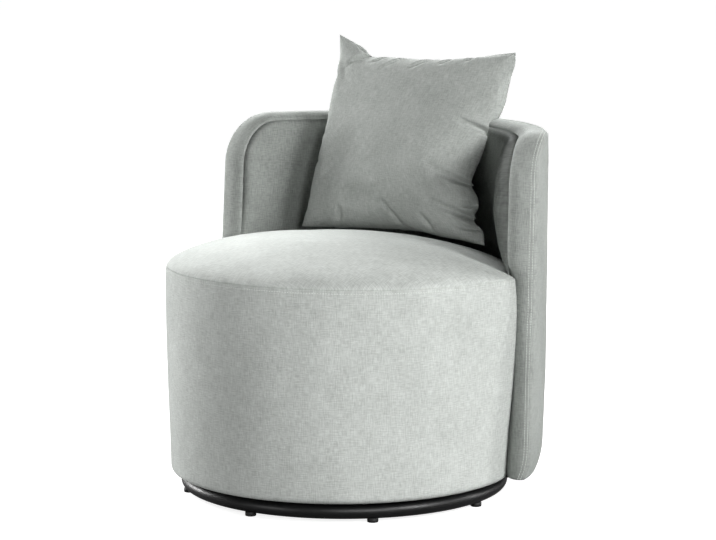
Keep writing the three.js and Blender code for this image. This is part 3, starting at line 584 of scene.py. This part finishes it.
def shell_sides():
    """Side shares from -1 to 1, close together round the corners."""
    middle_count, end_count = 130, 26
    edge_columns, clear_of_edge, nearly = (0, 0.001, 0.0025), 0.004, 0.999
    reach = BACK_HALF_ANGLE * BACK_RADIUS
    corner = BACK_CORNER / reach
    turn = np.linspace(0, math.pi / 2, end_count)
    arc = 1 - corner * (1 - np.cos(turn[:-1])) * nearly
    edge = [1 - inwards / reach for inwards in edge_columns]
    ends = np.concatenate([edge, arc[arc < 1 - clear_of_edge / reach]])
    centre = np.linspace(-(1 - corner), 1 - corner, middle_count)
    return np.concatenate([-ends, centre, ends[::-1]])


def panel_outline(inset):
    """Reach, corner radius and top of a panel that ends inset from the back's outline."""
    return BACK_HALF_ANGLE * BACK_RADIUS - inset, BACK_CORNER - inset, BACK_TOP - inset


def shell_grid(inset):
    """Side shares and heights over a panel of the back, from its seam down to its foot."""
    lower_rows = 60
    reach, corner, seam_top = panel_outline(inset)
    sides = shell_sides()
    past = np.maximum(0.0, np.abs(sides) * reach - (reach - corner))
    tops = seam_top - corner + np.sqrt(np.maximum(0.0, corner**2 - past**2))
    rows = [tops - depth for depth in BACK_SEAM_ROWS]
    for share in 1 - np.linspace(0, 1, lower_rows)[1:]:
        rows.append(BACK_FOOT + (tops - BACK_SEAM_ROWS[-1] - BACK_FOOT) * share)
    z = np.array(rows)
    return np.broadcast_to(sides, z.shape), z


def seam_distance(side, z, inset):
    """How far each point of a panel lies from the seam round its arms and its top."""
    reach, corner, seam_top = panel_outline(inset)
    from_side = (half_angle(z) * BACK_RADIUS - inset) * (1 - np.abs(side))
    over = np.abs(side) * reach - (reach - corner)
    up = z - (seam_top - corner)
    distance = np.minimum(from_side, seam_top - z)
    distance = np.where((over > 0) & (up > 0), corner - np.hypot(over, up), distance)
    return np.maximum(distance, 0.0)


def back_panel(name, inset, radius, waves, sign):
    """A panel of the back. The sign is 1 for the inner one, whose seam dips outwards, else -1."""
    side, z = shell_grid(inset)
    edge = seam_distance(side, z, inset)
    angle = side * (half_angle(z) - inset / BACK_RADIUS)
    dip = SEAM_DIP * (1 - smooth(edge / SEAM_ROLL)) ** SEAM_CURVE
    unrolled = np.stack([angle * BACK_UNROLL_RADIUS, np.zeros_like(z), z], -1)
    slack = ripples(unrolled, waves) * smooth(edge / BACK_WAVE_FADE)
    r = radius(z) + sign * dip + slack * smooth((z - BACK_FOOT) / BACK_WAVE_FADE)
    if sign < 0:
        angle = set_back(angle, z)
    else:
        r = r - inner_pad(z, edge) * pad_share(angle)
    points = np.stack([r * np.sin(angle), r * np.cos(angle) + DRUM_Y, z], -1)
    uvs = np.stack([angle * BACK_UNROLL_RADIUS, z], -1).reshape(-1, 2)
    obj = mesh_object(name, points.reshape(-1, 3), grid_faces(*z.shape), uvs)
    if sign > 0:
        obj.data.flip_normals()
    return thicken(obj, CLOTH)


def band_path():
    """Places (angle, height, turn) along the back's outline, from the right foot to the left."""
    side_count, corner_count, top_count = 110, 36, 80
    straight = BACK_TOP - BACK_CORNER
    rise = BACK_FOOT + (straight - BACK_FOOT) * np.linspace(0, 1, side_count)[:-1]
    reach = BACK_HALF_ANGLE * BACK_RADIUS
    half = [(half_angle(z), z, 0.0) for z in rise]
    for t in np.linspace(0, math.pi / 2, corner_count):
        angle = (reach - BACK_CORNER + BACK_CORNER * math.cos(t)) / BACK_RADIUS
        half.append((angle, straight + BACK_CORNER * math.sin(t), t))
    along = np.linspace(reach - BACK_CORNER, 0, top_count)[1:-1]
    half += [(s / BACK_RADIUS, BACK_TOP, math.pi / 2) for s in along]
    mirrored = [(-a, z, math.pi - t) for a, z, t in half][::-1]
    return half + [(0.0, BACK_TOP, math.pi / 2)] + mirrored


def band_width(z):
    return float(outer_radius(z) - inner_radius(z))


def band_squeeze(z):
    """How far the drum presses the band's inner edge back."""
    by_foot = smooth((z - BACK_FOOT) / BAND_FOOT_REACH)
    by_foot = BAND_FOOT_SQUEEZE + (1 - BAND_FOOT_SQUEEZE) * by_foot
    by_seam = 1 - smooth((z - SEAM_HEIGHT + BAND_SQUEEZE_BELOW_SEAM) / BAND_SQUEEZE_FADE)
    return BAND_SQUEEZE * by_seam * by_foot


def band_point(angle, z, turn, share, lift):
    """A point of the band: its place on the outline, its share across and its height over it."""
    inner = inner_radius(z)
    r = inner + (outer_radius(z) - inner) * share
    bent = angle + lift * math.cos(turn) / BACK_RADIUS
    by_share = max(0.0, 1 - share / BAND_SQUEEZE_SHARE) ** BAND_SQUEEZE_CURVE
    squeeze = band_squeeze(z) * by_share * math.cos(turn)
    bent = set_back(bent - squeeze / BACK_RADIUS, z, share)
    return (r * math.sin(bent), r * math.cos(bent) + DRUM_Y, z + lift * math.sin(turn))


def band_lift(share, width):
    """Height of the band over its seams, full in the middle and rolled in at both edges."""
    inner = share < 0.5
    deep = BAND_CROWN if inner else BAND_OUTER_CROWN
    full = -deep * abs(2 * share - 1) ** (BAND_FULLNESS if inner else BAND_OUTER_FULLNESS)
    near = min(share, 1 - share) * width
    return full - SEAM_DIP * (1 - float(smooth(near / SEAM_ROLL))) ** SEAM_CURVE


def make_band():
    """The edge band, row by row across its width along the back's outline."""
    ends = [0, 0.008, 0.02, 0.035, 0.055, 0.08, 0.12, 0.18, 0.27, 0.38]
    shares = ends + [0.5] + [1 - s for s in ends[::-1]]
    path = band_path()
    points, uvs = [], []
    length = 0.0
    before = None
    for angle, z, turn in path:
        here = Vector(band_point(angle, z, turn, 0.5, 0))
        length += (here - before).length if before is not None else 0.0
        before = here
        width = band_width(z)
        for share in shares:
            across = share * BAND_WAVE_WIDTH
            wave = sum(h * wander(length, across, 0.0, scale, seed) for h, scale, seed in BAND_WAVES)
            lift = band_lift(share, width) + wave * math.sin(math.pi * share)
            points.append(band_point(angle, z, turn, share, lift))
            uvs.append((share * width, length))
    obj = mesh_object("back_edge_band_panel", points, grid_faces(len(path), len(shares)), uvs)
    return thicken(outward_normals(obj, INSIDE), CLOTH)


# Linings, each with the size that it was cut to
def make_foot_lining():
    """A strip of lining along the back's foot."""
    steps = 120
    reach = float(half_angle(BACK_FOOT)) - LINING_MARGIN / BACK_RADIUS
    angles = np.linspace(-reach, reach, steps + 1)
    edges = (float(inner_radius(BACK_FOOT)) + CLOTH, float(outer_radius(BACK_FOOT)) - CLOTH)
    verts = [(r * math.sin(a), r * math.cos(a) + DRUM_Y, BACK_FOOT) for r in edges for a in angles]
    obj = mesh_object("back_foot_lining", verts, grid_faces(len(edges), len(angles)))
    return thicken(obj, LINING_THICKNESS, 0.0), (edges[1] - edges[0], reach * sum(edges))


def make_dust_cover():
    """A disc of lining stapled under the seat, open round the swivel, a little slack between."""
    low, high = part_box("dust_cover")
    rim, hole = half_width("dust_cover"), DUST_COVER_HOLE
    around, across = 160, 14
    wave_share, wave_scale, wave_seed = 0.3, 4.0, 1.4
    verts = []
    for share in np.linspace(0, 1, across):
        sag = DUST_COVER_SAG * math.sin(math.pi * share)
        r = hole + (rim - hole) * share
        y = AXIS_Y + (DRUM_Y - AXIS_Y) * share
        for a in np.linspace(0, 2 * math.pi, around, endpoint=False):
            east, north = math.sin(a), math.cos(a)
            wave = wave_share * sag * wander(east, north, 0.0, wave_scale, wave_seed)
            verts.append((r * east, r * north + y, (low.z + high.z) / 2 - sag + wave))
    obj = mesh_object("seat_dust_cover", verts, grid_faces(across, around, closed=True))
    return thicken(obj, high.z - low.z, 0.0), (2 * rim, 2 * rim), math.pi * (rim**2 - hole**2)


# Stitches: short rounded threads laid end to end along a path
def make_stitches(name, paths):
    """One mesh with all stitches of some paths, each given by its points and their normals."""
    rings, sides = 5, 6
    swell = np.sin(np.linspace(0, math.pi, rings))
    turns = [2 * math.pi * j / sides for j in range(sides)]
    verts, faces = [], []
    for path, normals in paths:
        steps = np.linalg.norm(np.diff(path, axis=0), axis=1)
        place = np.concatenate([[0], np.cumsum(steps)])
        for k in range(int(place[-1] / STITCH_PITCH)):
            start = (k + 0.5 - 0.5 * STITCH_LENGTH / STITCH_PITCH) * STITCH_PITCH
            ts = start + STITCH_LENGTH * np.linspace(0, 1, rings)
            at = np.stack([np.interp(ts, place, path[:, i]) for i in range(3)], -1)
            up = np.array([np.interp(ts.mean(), place, normals[:, i]) for i in range(3)])
            up /= np.linalg.norm(up)
            along = at[-1] - at[0]
            side = np.cross(along / np.linalg.norm(along), up)
            base = len(verts)
            for i in range(rings):
                radius = STITCH_RADIUS * (STITCH_END + (1 - STITCH_END) * swell[i])
                core = at[i] + up * (STITCH_RADIUS * (STITCH_RISE * swell[i] - STITCH_SINK))
                verts += [core + radius * (math.cos(t) * side + math.sin(t) * up) for t in turns]
            faces += shifted(grid_faces(rings, sides, closed=True), base)
            faces.append(tuple(base + j for j in range(sides))[::-1])
            faces.append(tuple(base + (rings - 1) * sides + j for j in range(sides)))
    return mesh_object(name, verts, faces)


def seat_stitch_path():
    """A row of stitches round the drum, just below the seat's seam."""
    steps = 720
    angles = np.linspace(0, 2 * math.pi, steps + 1)
    z = SEAM_HEIGHT - SEAT_STITCH_DROP
    r = float(drum_radius(z))
    x, y = r * np.sin(angles), r * np.cos(angles)
    path = np.stack([x, y + DRUM_Y, z - slope_drop(y, z)], -1)
    return path, np.stack([np.sin(angles), np.cos(angles), 0 * angles], -1)


def band_stitch_path(distance):
    """A row of stitches on the band, at a distance from its outer seam."""
    step = 0.001
    path, normals = [], []
    for angle, z, turn in band_path():
        width = band_width(z)
        share = 1 - distance / width
        lift = band_lift(share, width)
        here = Vector(band_point(angle, z, turn, share, lift))
        above = Vector(band_point(angle, z, turn, share, lift + step))
        path.append(here)
        normals.append((above - here).normalized())
    return np.array(path), np.array(normals)


# Base
def make_ring():
    """The round tube under the drum, finer than its CAD solid."""
    around, across = 256, 40
    low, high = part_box("base_ring")
    radius, tube = half_width("base_ring"), (high.z - low.z) / 2
    centre = middle("base_ring")
    verts, faces = [], []
    for i in range(around):
        a = 2 * math.pi * i / around
        for j in range(across):
            b = 2 * math.pi * j / across
            r = radius - tube + tube * math.cos(b)
            verts.append((r * math.sin(a), r * math.cos(a) + centre.y, centre.z + tube * math.sin(b)))
            k, m = (i + 1) % around, (j + 1) % across
            faces.append((i * across + j, i * across + m, k * across + m, k * across + j))
    return outward_normals(mesh_object("base_ring_tube", verts, faces), Vector((0, centre.y, centre.z)))


def make_glide(index):
    """A turned glide with a rounded sole and a soft shoulder."""
    node = f"foot_{index}"
    centre, radius = middle(node), half_width(node)
    sole, shoulder, clearance, around = 0.0016, 0.0012, 0.0025, 40
    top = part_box(node)[1].z - clearance
    profile = [(radius - sole, 0.0), (radius - 0.0005, 0.0004), (radius, 0.0014)]
    profile += [(radius, top - shoulder), (radius - shoulder, top)]
    verts = [(centre.x, centre.y, 0.0), (centre.x, centre.y, top)]
    for r, z in profile:
        for j in range(around):
            t = 2 * math.pi * j / around
            verts.append((centre.x + r * math.cos(t), centre.y + r * math.sin(t), z))
    faces = shifted(grid_faces(len(profile), around, closed=True), 2)
    last = 2 + (len(profile) - 1) * around
    for j in range(around):
        k = (j + 1) % around
        faces += [(0, 2 + k, 2 + j), (1, last + j, last + k)]
    return mesh_object(f"glide_{index}", verts, faces)


# Scatter cushion
def through(points, shares):
    """A smooth curve through points, at shares of its length."""
    points = np.array(points)
    gaps = np.linalg.norm(np.diff(points, axis=0), axis=1)
    knots = np.concatenate([[0], np.cumsum(gaps)]) / gaps.sum()
    slopes = np.gradient(points, knots, axis=0)
    first = np.clip(np.searchsorted(knots, shares, side="right") - 1, 0, len(knots) - 2)
    gap = (knots[first + 1] - knots[first])[:, None]
    w = (shares - knots[first])[:, None] / gap
    start = (1 + 2 * w) * (1 - w) ** 2 * points[first] + w * (1 - w) ** 2 * gap * slopes[first]
    end = w**2 * (3 - 2 * w) * points[first + 1] + w**2 * (w - 1) * gap * slopes[first + 1]
    return start + end


def cushion_shares():
    """Shares of each side where the grid lines run, closer together towards the seams."""
    even = np.linspace(0, 1, CUSHION_CELLS + 1)
    crowded = (1 - np.cos(math.pi * even)) / 2
    return (1 - CUSHION_CROWDING) * even + CUSHION_CROWDING * crowded


def spanned(bottom, top, left, right):
    """A patch of points stretched between four edges."""
    shares = cushion_shares()
    across, up = shares[None, :, None], shares[:, None, None]
    ruled = (1 - up) * bottom + up * top + (1 - across) * left[:, None] + across * right[:, None]
    foot = (1 - across) * bottom[0] + across * bottom[-1]
    head = (1 - across) * top[0] + across * top[-1]
    return ruled - (1 - up) * foot - up * head


def cushion_plane():
    """The patch between the drawn seams, in the cushion's own plane."""
    sides = ("bottom", "top", "left", "right")
    return spanned(*(through(CUSHION_SEAMS[side], cushion_shares()) for side in sides))


def crease_depth(plane, narrowing=1.0):
    """Depth of the creases over the patch, each a groove with a low ridge on both sides."""
    total = np.zeros(plane.shape[:2])
    for start, end, width, depth in CUSHION_CREASES:
        run = np.subtract(end, start)
        length = np.hypot(*run)
        gap = plane - start
        along = gap @ run / length**2
        across = (gap[..., 0] * run[1] - gap[..., 1] * run[0]) / length / (width * narrowing)
        bent = across + CREASE_SWAY * np.sin(CREASE_SWAY_RATE * along)
        groove = (1 - CREASE_RIDGE * bent**2) * np.exp(-CREASE_SPREAD * bent**2)
        lead = np.clip(along + CREASE_LEAD, 0, CREASE_LEAD_FADE) / CREASE_LEAD_FADE
        total += depth * groove * lead * np.clip((1 - along) / CREASE_TAIL_FADE, 0, 1)
    return total


def cushion_panels():
    """Front and back panels, joined along their rim, as one closed mesh on a square grid."""
    n = CUSHION_CELLS
    plane = cushion_plane()
    line = 2 * cushion_shares() - 1
    s, t = np.meshgrid(line, line)
    room = np.maximum(0.0, (1 - s**2) * (1 - t**2))
    rounded = CUSHION_FULLNESS + (1 - CUSHION_FULLNESS) * room**0.5
    swell = room**0.5 * rounded * (1 - CUSHION_BELLY * t)
    creases = CREASE_BEFORE_FILLING * crease_depth(plane) * np.clip(CREASE_RIM_FADE * swell, 0, 1)
    depths = {-1: creases - CUSHION_FRONT * swell, 1: CUSHION_BACK * swell}
    index, verts, uvs = {}, [], []
    for side, depth in depths.items():
        for i in range(n + 1):
            for j in range(n + 1):
                rim = i in (0, n) or j in (0, n)
                if rim and side == 1:
                    index[side, i, j] = index[-1, i, j]
                    continue
                index[side, i, j] = len(verts)
                verts.append((plane[i, j, 0], 0.0 if rim else depth[i, j], plane[i, j, 1]))
                uvs.append((CUSHION_CUT * line[j], CUSHION_CUT * line[i]))
    faces = []
    for side in depths:
        for i in range(n):
            for j in range(n):
                quad = [index[side, i + k, j + m] for k, m in ((0, 0), (0, 1), (1, 1), (1, 0))]
                faces.append(tuple(quad if side == -1 else quad[::-1]))
    grids = [[[index[side, i, j] for j in range(n + 1)] for i in range(n + 1)] for side in depths]
    return verts, faces, uvs, np.array(grids)


def held_seams(move, grids):
    """Takes back what the seams moved, and with it the drift that they give the panels."""
    for grid in grids:
        rim = move[grid]
        drift = spanned(rim[0], rim[-1], rim[:, 0], rim[:, -1])
        inner = grid[1:-1, 1:-1]
        move[inner] -= drift[1:-1, 1:-1]
    for edge in (grids[0][0], grids[0][-1], grids[0][:, 0], grids[0][:, -1]):
        move[edge] = 0.0
    return move


def inflate(obj, grids):
    """Blows the sewn panels up a little, so the cloth finds its own folds, and caps the move."""
    start = np.array([v.co for v in obj.data.vertices])
    cloth = obj.modifiers.new("inflate", "CLOTH")
    for setting, value in CUSHION_CLOTH.items():
        setattr(cloth.settings, setting, value)
    cloth.settings.effector_weights.gravity = 0
    cloth.collision_settings.use_collision = False
    cloth.point_cache.frame_start = 1
    cloth.point_cache.frame_end = CUSHION_FRAMES
    scene = bpy.context.scene
    for number in range(1, CUSHION_FRAMES + 1):
        scene.frame_set(number)
    evaluated = obj.evaluated_get(bpy.context.evaluated_depsgraph_get())
    move = np.array([v.co for v in evaluated.data.vertices]) - start
    obj.modifiers.remove(cloth)
    scene.frame_set(1)
    move = held_seams(move, grids)
    size = np.maximum(np.linalg.norm(move, axis=1, keepdims=True), 1e-9)
    return start + move / size * CUSHION_LIMIT * np.tanh(size / CUSHION_LIMIT)


def place_cushion(local):
    """Leans the cushion back and turns it to the place where it was photographed."""
    turn = Matrix.Rotation(CUSHION_TURN, 3, "Z") @ Matrix.Rotation(-CUSHION_LEAN, 3, "X")
    return local @ np.array(turn).T + np.array(CUSHION_FOOT)


def rest_on_seat(points):
    """Flattens the cushion where it meets the seat and the back."""
    x, y = points[:, 0], points[:, 1] - DRUM_Y
    points[:, 2] = np.maximum(points[:, 2], seat_height(x, y) + CUSHION_SEAT_GAP)
    z = points[:, 2]
    r = np.hypot(x, y)
    pad = inner_pad(z, np.full(len(points), INNER_PAD_ROLL))
    limit = inner_radius(z) - CUSHION_BACK_GAP - pad
    low = z < BACK_TOP + CUSHION_BACK_TOP_EASE
    shrink = np.where(low & (r > limit), limit / np.maximum(r, 1e-6), 1.0)
    points[:, 0] = x * shrink
    points[:, 1] = y * shrink + DRUM_Y
    return points


def make_cushion():
    verts, faces, uvs, grids = cushion_panels()
    obj = mesh_object("cushion_cover", verts, faces, uvs)
    shape = inflate(obj, grids)
    creases = CREASE_AFTER_FILLING * crease_depth(cushion_plane(), CREASE_TIGHTENING)
    shape[grids[0][1:-1, 1:-1], 1] += creases[1:-1, 1:-1]
    shape = rest_on_seat(place_cushion(shape))
    obj.data.vertices.foreach_set("co", shape.ravel())
    obj.data.update()
    outward_normals(obj, Vector(shape.mean(axis=0)))
    smoothing = obj.modifiers.new("fine surface", "SUBSURF")
    smoothing.levels = 1
    smoothing.render_levels = 1
    return obj


# Materials
class Nodes:
    """A node tree, with short calls that add a node and return what it puts out."""

    def __init__(self, owner):
        owner.use_nodes = True
        self.tree = owner.node_tree
        self.tree.nodes.clear()

    def add(self, kind, inputs, **settings):
        """Each input is given a value, or another node's output."""
        node = self.tree.nodes.new(kind)
        for setting, value in settings.items():
            setattr(node, setting, value)
        for key, value in inputs.items():
            if isinstance(value, bpy.types.NodeSocket):
                self.tree.links.new(value, node.inputs[key])
            else:
                node.inputs[key].default_value = value
        return node.outputs

    def grain(self, coords, scale, stretch=EVEN, detail=2.0, roughness=0.5):
        place = self.add("ShaderNodeMapping", {"Vector": coords, "Scale": stretch})["Vector"]
        look = {"Vector": place, "Scale": scale, "Detail": detail, "Roughness": roughness}
        return self.add("ShaderNodeTexNoise", look)["Fac"]

    def ramp(self, value, old, new):
        """Brings a value from the old range to the new one, and keeps it there."""
        limits = {"From Min": old[0], "From Max": old[1], "To Min": new[0], "To Max": new[1]}
        return self.add("ShaderNodeMapRange", {"Value": value, **limits})["Result"]

    def maths(self, operation, a, b):
        return self.add("ShaderNodeMath", {0: a, 1: b}, operation=operation)["Value"]

    def blend(self, factor, a, b):
        """A colour between a and b. The node's colour sockets are known by number."""
        return self.add("ShaderNodeMix", {0: factor, 6: a, 7: b}, data_type="RGBA")[2]

    def bump(self, height, strength, distance):
        look = {"Height": height, "Strength": strength, "Distance": distance}
        return self.add("ShaderNodeBump", look)["Normal"]


def linear(rgb):
    """A screen colour, 0 to 255, as linear light."""
    shares = [c / 255 for c in rgb]
    return (*(s / 12.92 if s <= 0.04045 else ((s + 0.055) / 1.055) ** 2.4 for s in shares), 1.0)


def new_material(name):
    material = bpy.data.materials.new(name)
    nodes = Nodes(material)
    return material, nodes, nodes.add("ShaderNodeTexCoord", {})


def surface(nodes, look):
    shader = nodes.add("ShaderNodeBsdfPrincipled", look)["BSDF"]
    nodes.add("ShaderNodeOutputMaterial", {"Surface": shader})


def woven(name, pale, deep, seed):
    """Chenille with a fine cross weave, slubs along both threads and a brushed, patchy nap."""
    material, nodes, coords = new_material(name)
    warp, weft = (nodes.grain(coords["UV"], 1.0, stretch, 2.0, 0.55) for stretch in (WARP, WEFT))
    crossed = nodes.maths("ADD", warp, weft)
    threads = nodes.ramp(crossed, THREAD_RANGE, (0, 1))
    along, *others = NAP_SCALES
    broad = nodes.grain(coords["Object"], 1.0, (along + NAP_SEED_STEP * seed, *others), 4.0, 0.62)
    nap = nodes.ramp(broad, NAP_RANGE, (0, 1))
    brushed = nodes.grain(coords["Object"], MARK_SCALE, EVEN, 4.0, 0.65)
    marks = nodes.ramp(brushed, MARK_RANGE, (0, 1))
    total = nodes.maths("MULTIPLY", nap, NAP_SHARE)
    for part, share in ((threads, THREAD_SHARE), (marks, MARK_SHARE)):
        total = nodes.maths("ADD", total, nodes.maths("MULTIPLY", part, share))
    surface(nodes, {
        "Base Color": nodes.blend(total, linear(deep), linear(pale)),
        "Roughness": nodes.ramp(threads, (0, 1), (0.78, 0.95)),
        "Normal": nodes.bump(crossed, 0.45, 0.0011),
        "Sheen Weight": SHEEN,
        "Sheen Roughness": 0.3,
        "Sheen Tint": SHEEN_TINT,
        "Specular IOR Level": 0.2,
    })
    return material


def plain(name, pale, deep, roughness, metallic, scale, bump, stretch=EVEN):
    """A finish with a fine grain in its colour, roughness and height."""
    material, nodes, coords = new_material(name)
    grain = nodes.grain(coords["Object"], scale, stretch, 4.0, 0.55)
    roughness_range = (roughness * 0.85, min(1.0, roughness * 1.15))
    surface(nodes, {
        "Base Color": nodes.blend(nodes.ramp(grain, (0.32, 0.68), (0, 1)), linear(deep), linear(pale)),
        "Roughness": nodes.ramp(grain, (0.3, 0.7), roughness_range),
        "Normal": nodes.bump(grain, bump, 0.0006),
        "Metallic": metallic,
    })
    return material


def make_finishes():
    finishes = {name: woven(name, *look) for name, look in FABRICS.items()}
    finishes.update({name: plain(name, *look) for name, look in PLAIN_FINISHES.items()})
    return finishes


def paint_cad_nodes(finishes):
    slots = {part["node"]: part["material_slot"] for part in frame["record"]["subparts"]}
    for name, obj in frame["nodes"].items():
        finish = finishes[slots[name]]
        if not obj.material_slots:
            obj.data.materials.append(finish)
        for held in obj.material_slots:
            held.material = finish


# Camera, lights and floor
def chair_frame(x, y, z):
    """From the camera's floor frame, X right and Y away, to the chair's."""
    c, s = math.cos(CHAIR_TURN), math.sin(CHAIR_TURN)
    return Vector((x * c - y * s, x * s + y * c + AXIS_Y, z))


def aimed(name, data, place, direction):
    """Puts a camera or lamp in its place and turns it along a direction."""
    obj = bpy.data.objects.new(name, data)
    bpy.context.scene.collection.objects.link(obj)
    obj.location = place
    obj.rotation_euler = direction.to_track_quat("-Z", "Y").to_euler()
    return obj


def make_camera():
    data = bpy.data.cameras.new("camera")
    data.sensor_width = SENSOR_WIDTH
    data.lens = FOCAL_PIXELS / IMAGE_WIDTH * SENSOR_WIDTH
    data.clip_end = 200
    level = math.cos(CAMERA_PITCH)
    right, away = math.sin(CAMERA_YAW) * level, math.cos(CAMERA_YAW) * level
    ahead = chair_frame(right, away, 0) - chair_frame(0, 0, 0)
    ahead.z = -math.sin(CAMERA_PITCH)
    place = chair_frame(0, -CAMERA_DISTANCE, CAMERA_HEIGHT)
    bpy.context.scene.camera = aimed("camera", data, place, ahead)


def make_lamps():
    for name, place, target, size, power in LAMPS:
        data = bpy.data.lights.new(name, "AREA")
        data.shape = "RECTANGLE"
        data.size, data.size_y = size
        data.energy = power
        place = chair_frame(*place)
        aimed(name, data, place, chair_frame(*target) - place)


def flag_off(piece, lamp_names):
    """Keeps lamps off a piece, as flags do in a studio."""
    flagged = bpy.data.collections.new("flagged")
    flagged.objects.link(piece)
    flagged.collection_objects[0].light_linking.link_state = "EXCLUDE"
    for name in lamp_names:
        bpy.data.objects[name].light_linking.receiver_collection = flagged


def make_world():
    """White to the camera and almost dark to the chair."""
    world = bpy.data.worlds.new("studio")
    bpy.context.scene.world = world
    nodes = Nodes(world)
    rays = nodes.add("ShaderNodeLightPath", {})
    seen = nodes.maths("MAXIMUM", rays["Is Camera Ray"], rays["Is Transmission Ray"])
    dim, white = (nodes.add("ShaderNodeBackground", {"Strength": s})[0] for s in (WORLD_LIGHT, WHITE))
    mixed = nodes.add("ShaderNodeMixShader", {0: seen, 1: dim, 2: white})[0]
    nodes.add("ShaderNodeOutputWorld", {"Surface": mixed})


def make_floor():
    """A matt floor that keeps the shadow and glows white to the camera."""
    half = FLOOR_HALF_SIZE
    verts = [(-half, -half, 0), (half, -half, 0), (half, half, 0), (-half, half, 0)]
    obj = mesh_object("floor", verts, [(0, 1, 2, 3)])
    material, nodes, coords = new_material("floor")
    reach = nodes.add("ShaderNodeVectorMath", {0: coords["Object"]}, operation="LENGTH")["Value"]
    glow = nodes.add("ShaderNodeEmission", {"Strength": nodes.ramp(reach, FLOOR_REACH, FLOOR_GLOW)})[0]
    matt, bounced = (nodes.add("ShaderNodeBsdfDiffuse", {"Color": c})[0] for c in (FLOOR_GREY, FLOOR_BOUNCE))
    seen = nodes.add("ShaderNodeAddShader", {0: matt, 1: glow})[0]
    camera_ray = nodes.add("ShaderNodeLightPath", {})["Is Camera Ray"]
    mixed = nodes.add("ShaderNodeMixShader", {0: camera_ray, 1: bounced, 2: seen})[0]
    nodes.add("ShaderNodeOutputMaterial", {"Surface": mixed})
    obj.data.materials.append(material)


# Pieces
def dress(piece, finish, body):
    """Paints a piece and lets it ride on a body."""
    piece.data.materials.clear()
    piece.data.materials.append(finish)
    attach(piece, body)
    return piece


def build_base(finishes):
    ring = dress(make_ring(), finishes["black_steel"], "base")
    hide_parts("base_ring")
    for index in range(1, 9):
        glide = dress(make_glide(index), finishes["glide_plastic"], "base")
        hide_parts(f"foot_{index}")


def build_seat(finishes):
    fabric = finishes["chair_fabric"]
    top = dress(make_seat_top(), fabric, "seat")
    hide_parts("seat_top_cover", "seat_foam")
    side = dress(make_drum_side(), fabric, "seat")
    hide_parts("drum_side_cover", "drum_side_padding")
    stitches = make_stitches("seat_topstitch", [seat_stitch_path()])
    dress(stitches, finishes["thread"], "seat")
    dust_cover, cut, area = make_dust_cover()
    dress(dust_cover, finishes["lining"], "seat")
    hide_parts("dust_cover")


def build_back(finishes):
    # The back's finish is the seat's cloth painted darker: painted shade
    fabric = finishes["back_fabric"]
    inner = back_panel("back_inner_panel", BAND_CROWN, inner_radius, INNER_BACK_WAVES, 1.0)
    dress(inner, fabric, "seat")
    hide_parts("back_inner_cover", "back_inner_foam")
    flag_off(inner, LAMPS_OFF_INNER_BACK)
    outer = back_panel("back_outer_panel", BAND_OUTER_CROWN, outer_radius, OUTER_BACK_WAVES, -1.0)
    dress(outer, fabric, "seat")
    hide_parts("back_outer_cover", "back_outer_foam")
    band = dress(make_band(), fabric, "seat")
    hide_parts("back_edge_band")
    rows = [band_stitch_path(distance) for distance in BAND_STITCH_ROWS]
    dress(make_stitches("back_topstitch", rows), finishes["thread"], "seat")
    lining, cut = make_foot_lining()
    dress(lining, finishes["lining"], "seat")
    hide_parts("back_bottom_lining")


def build_cushion(finishes):
    # The cushion's finish is the seat's cloth painted darker: painted shade
    cushion = dress(make_cushion(), finishes["cushion_fabric"], "cushion")
    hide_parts("cushion_front_cover", "cushion_back_cover", "cushion_filling")


def build():
    bpy.context.scene.view_settings.view_transform = "Standard"
    make_camera()
    make_lamps()
    make_world()
    make_floor()
    finishes = make_finishes()
    paint_cad_nodes(finishes)
    build_base(finishes)
    build_seat(finishes)
    build_back(finishes)
    build_cushion(finishes)


build()
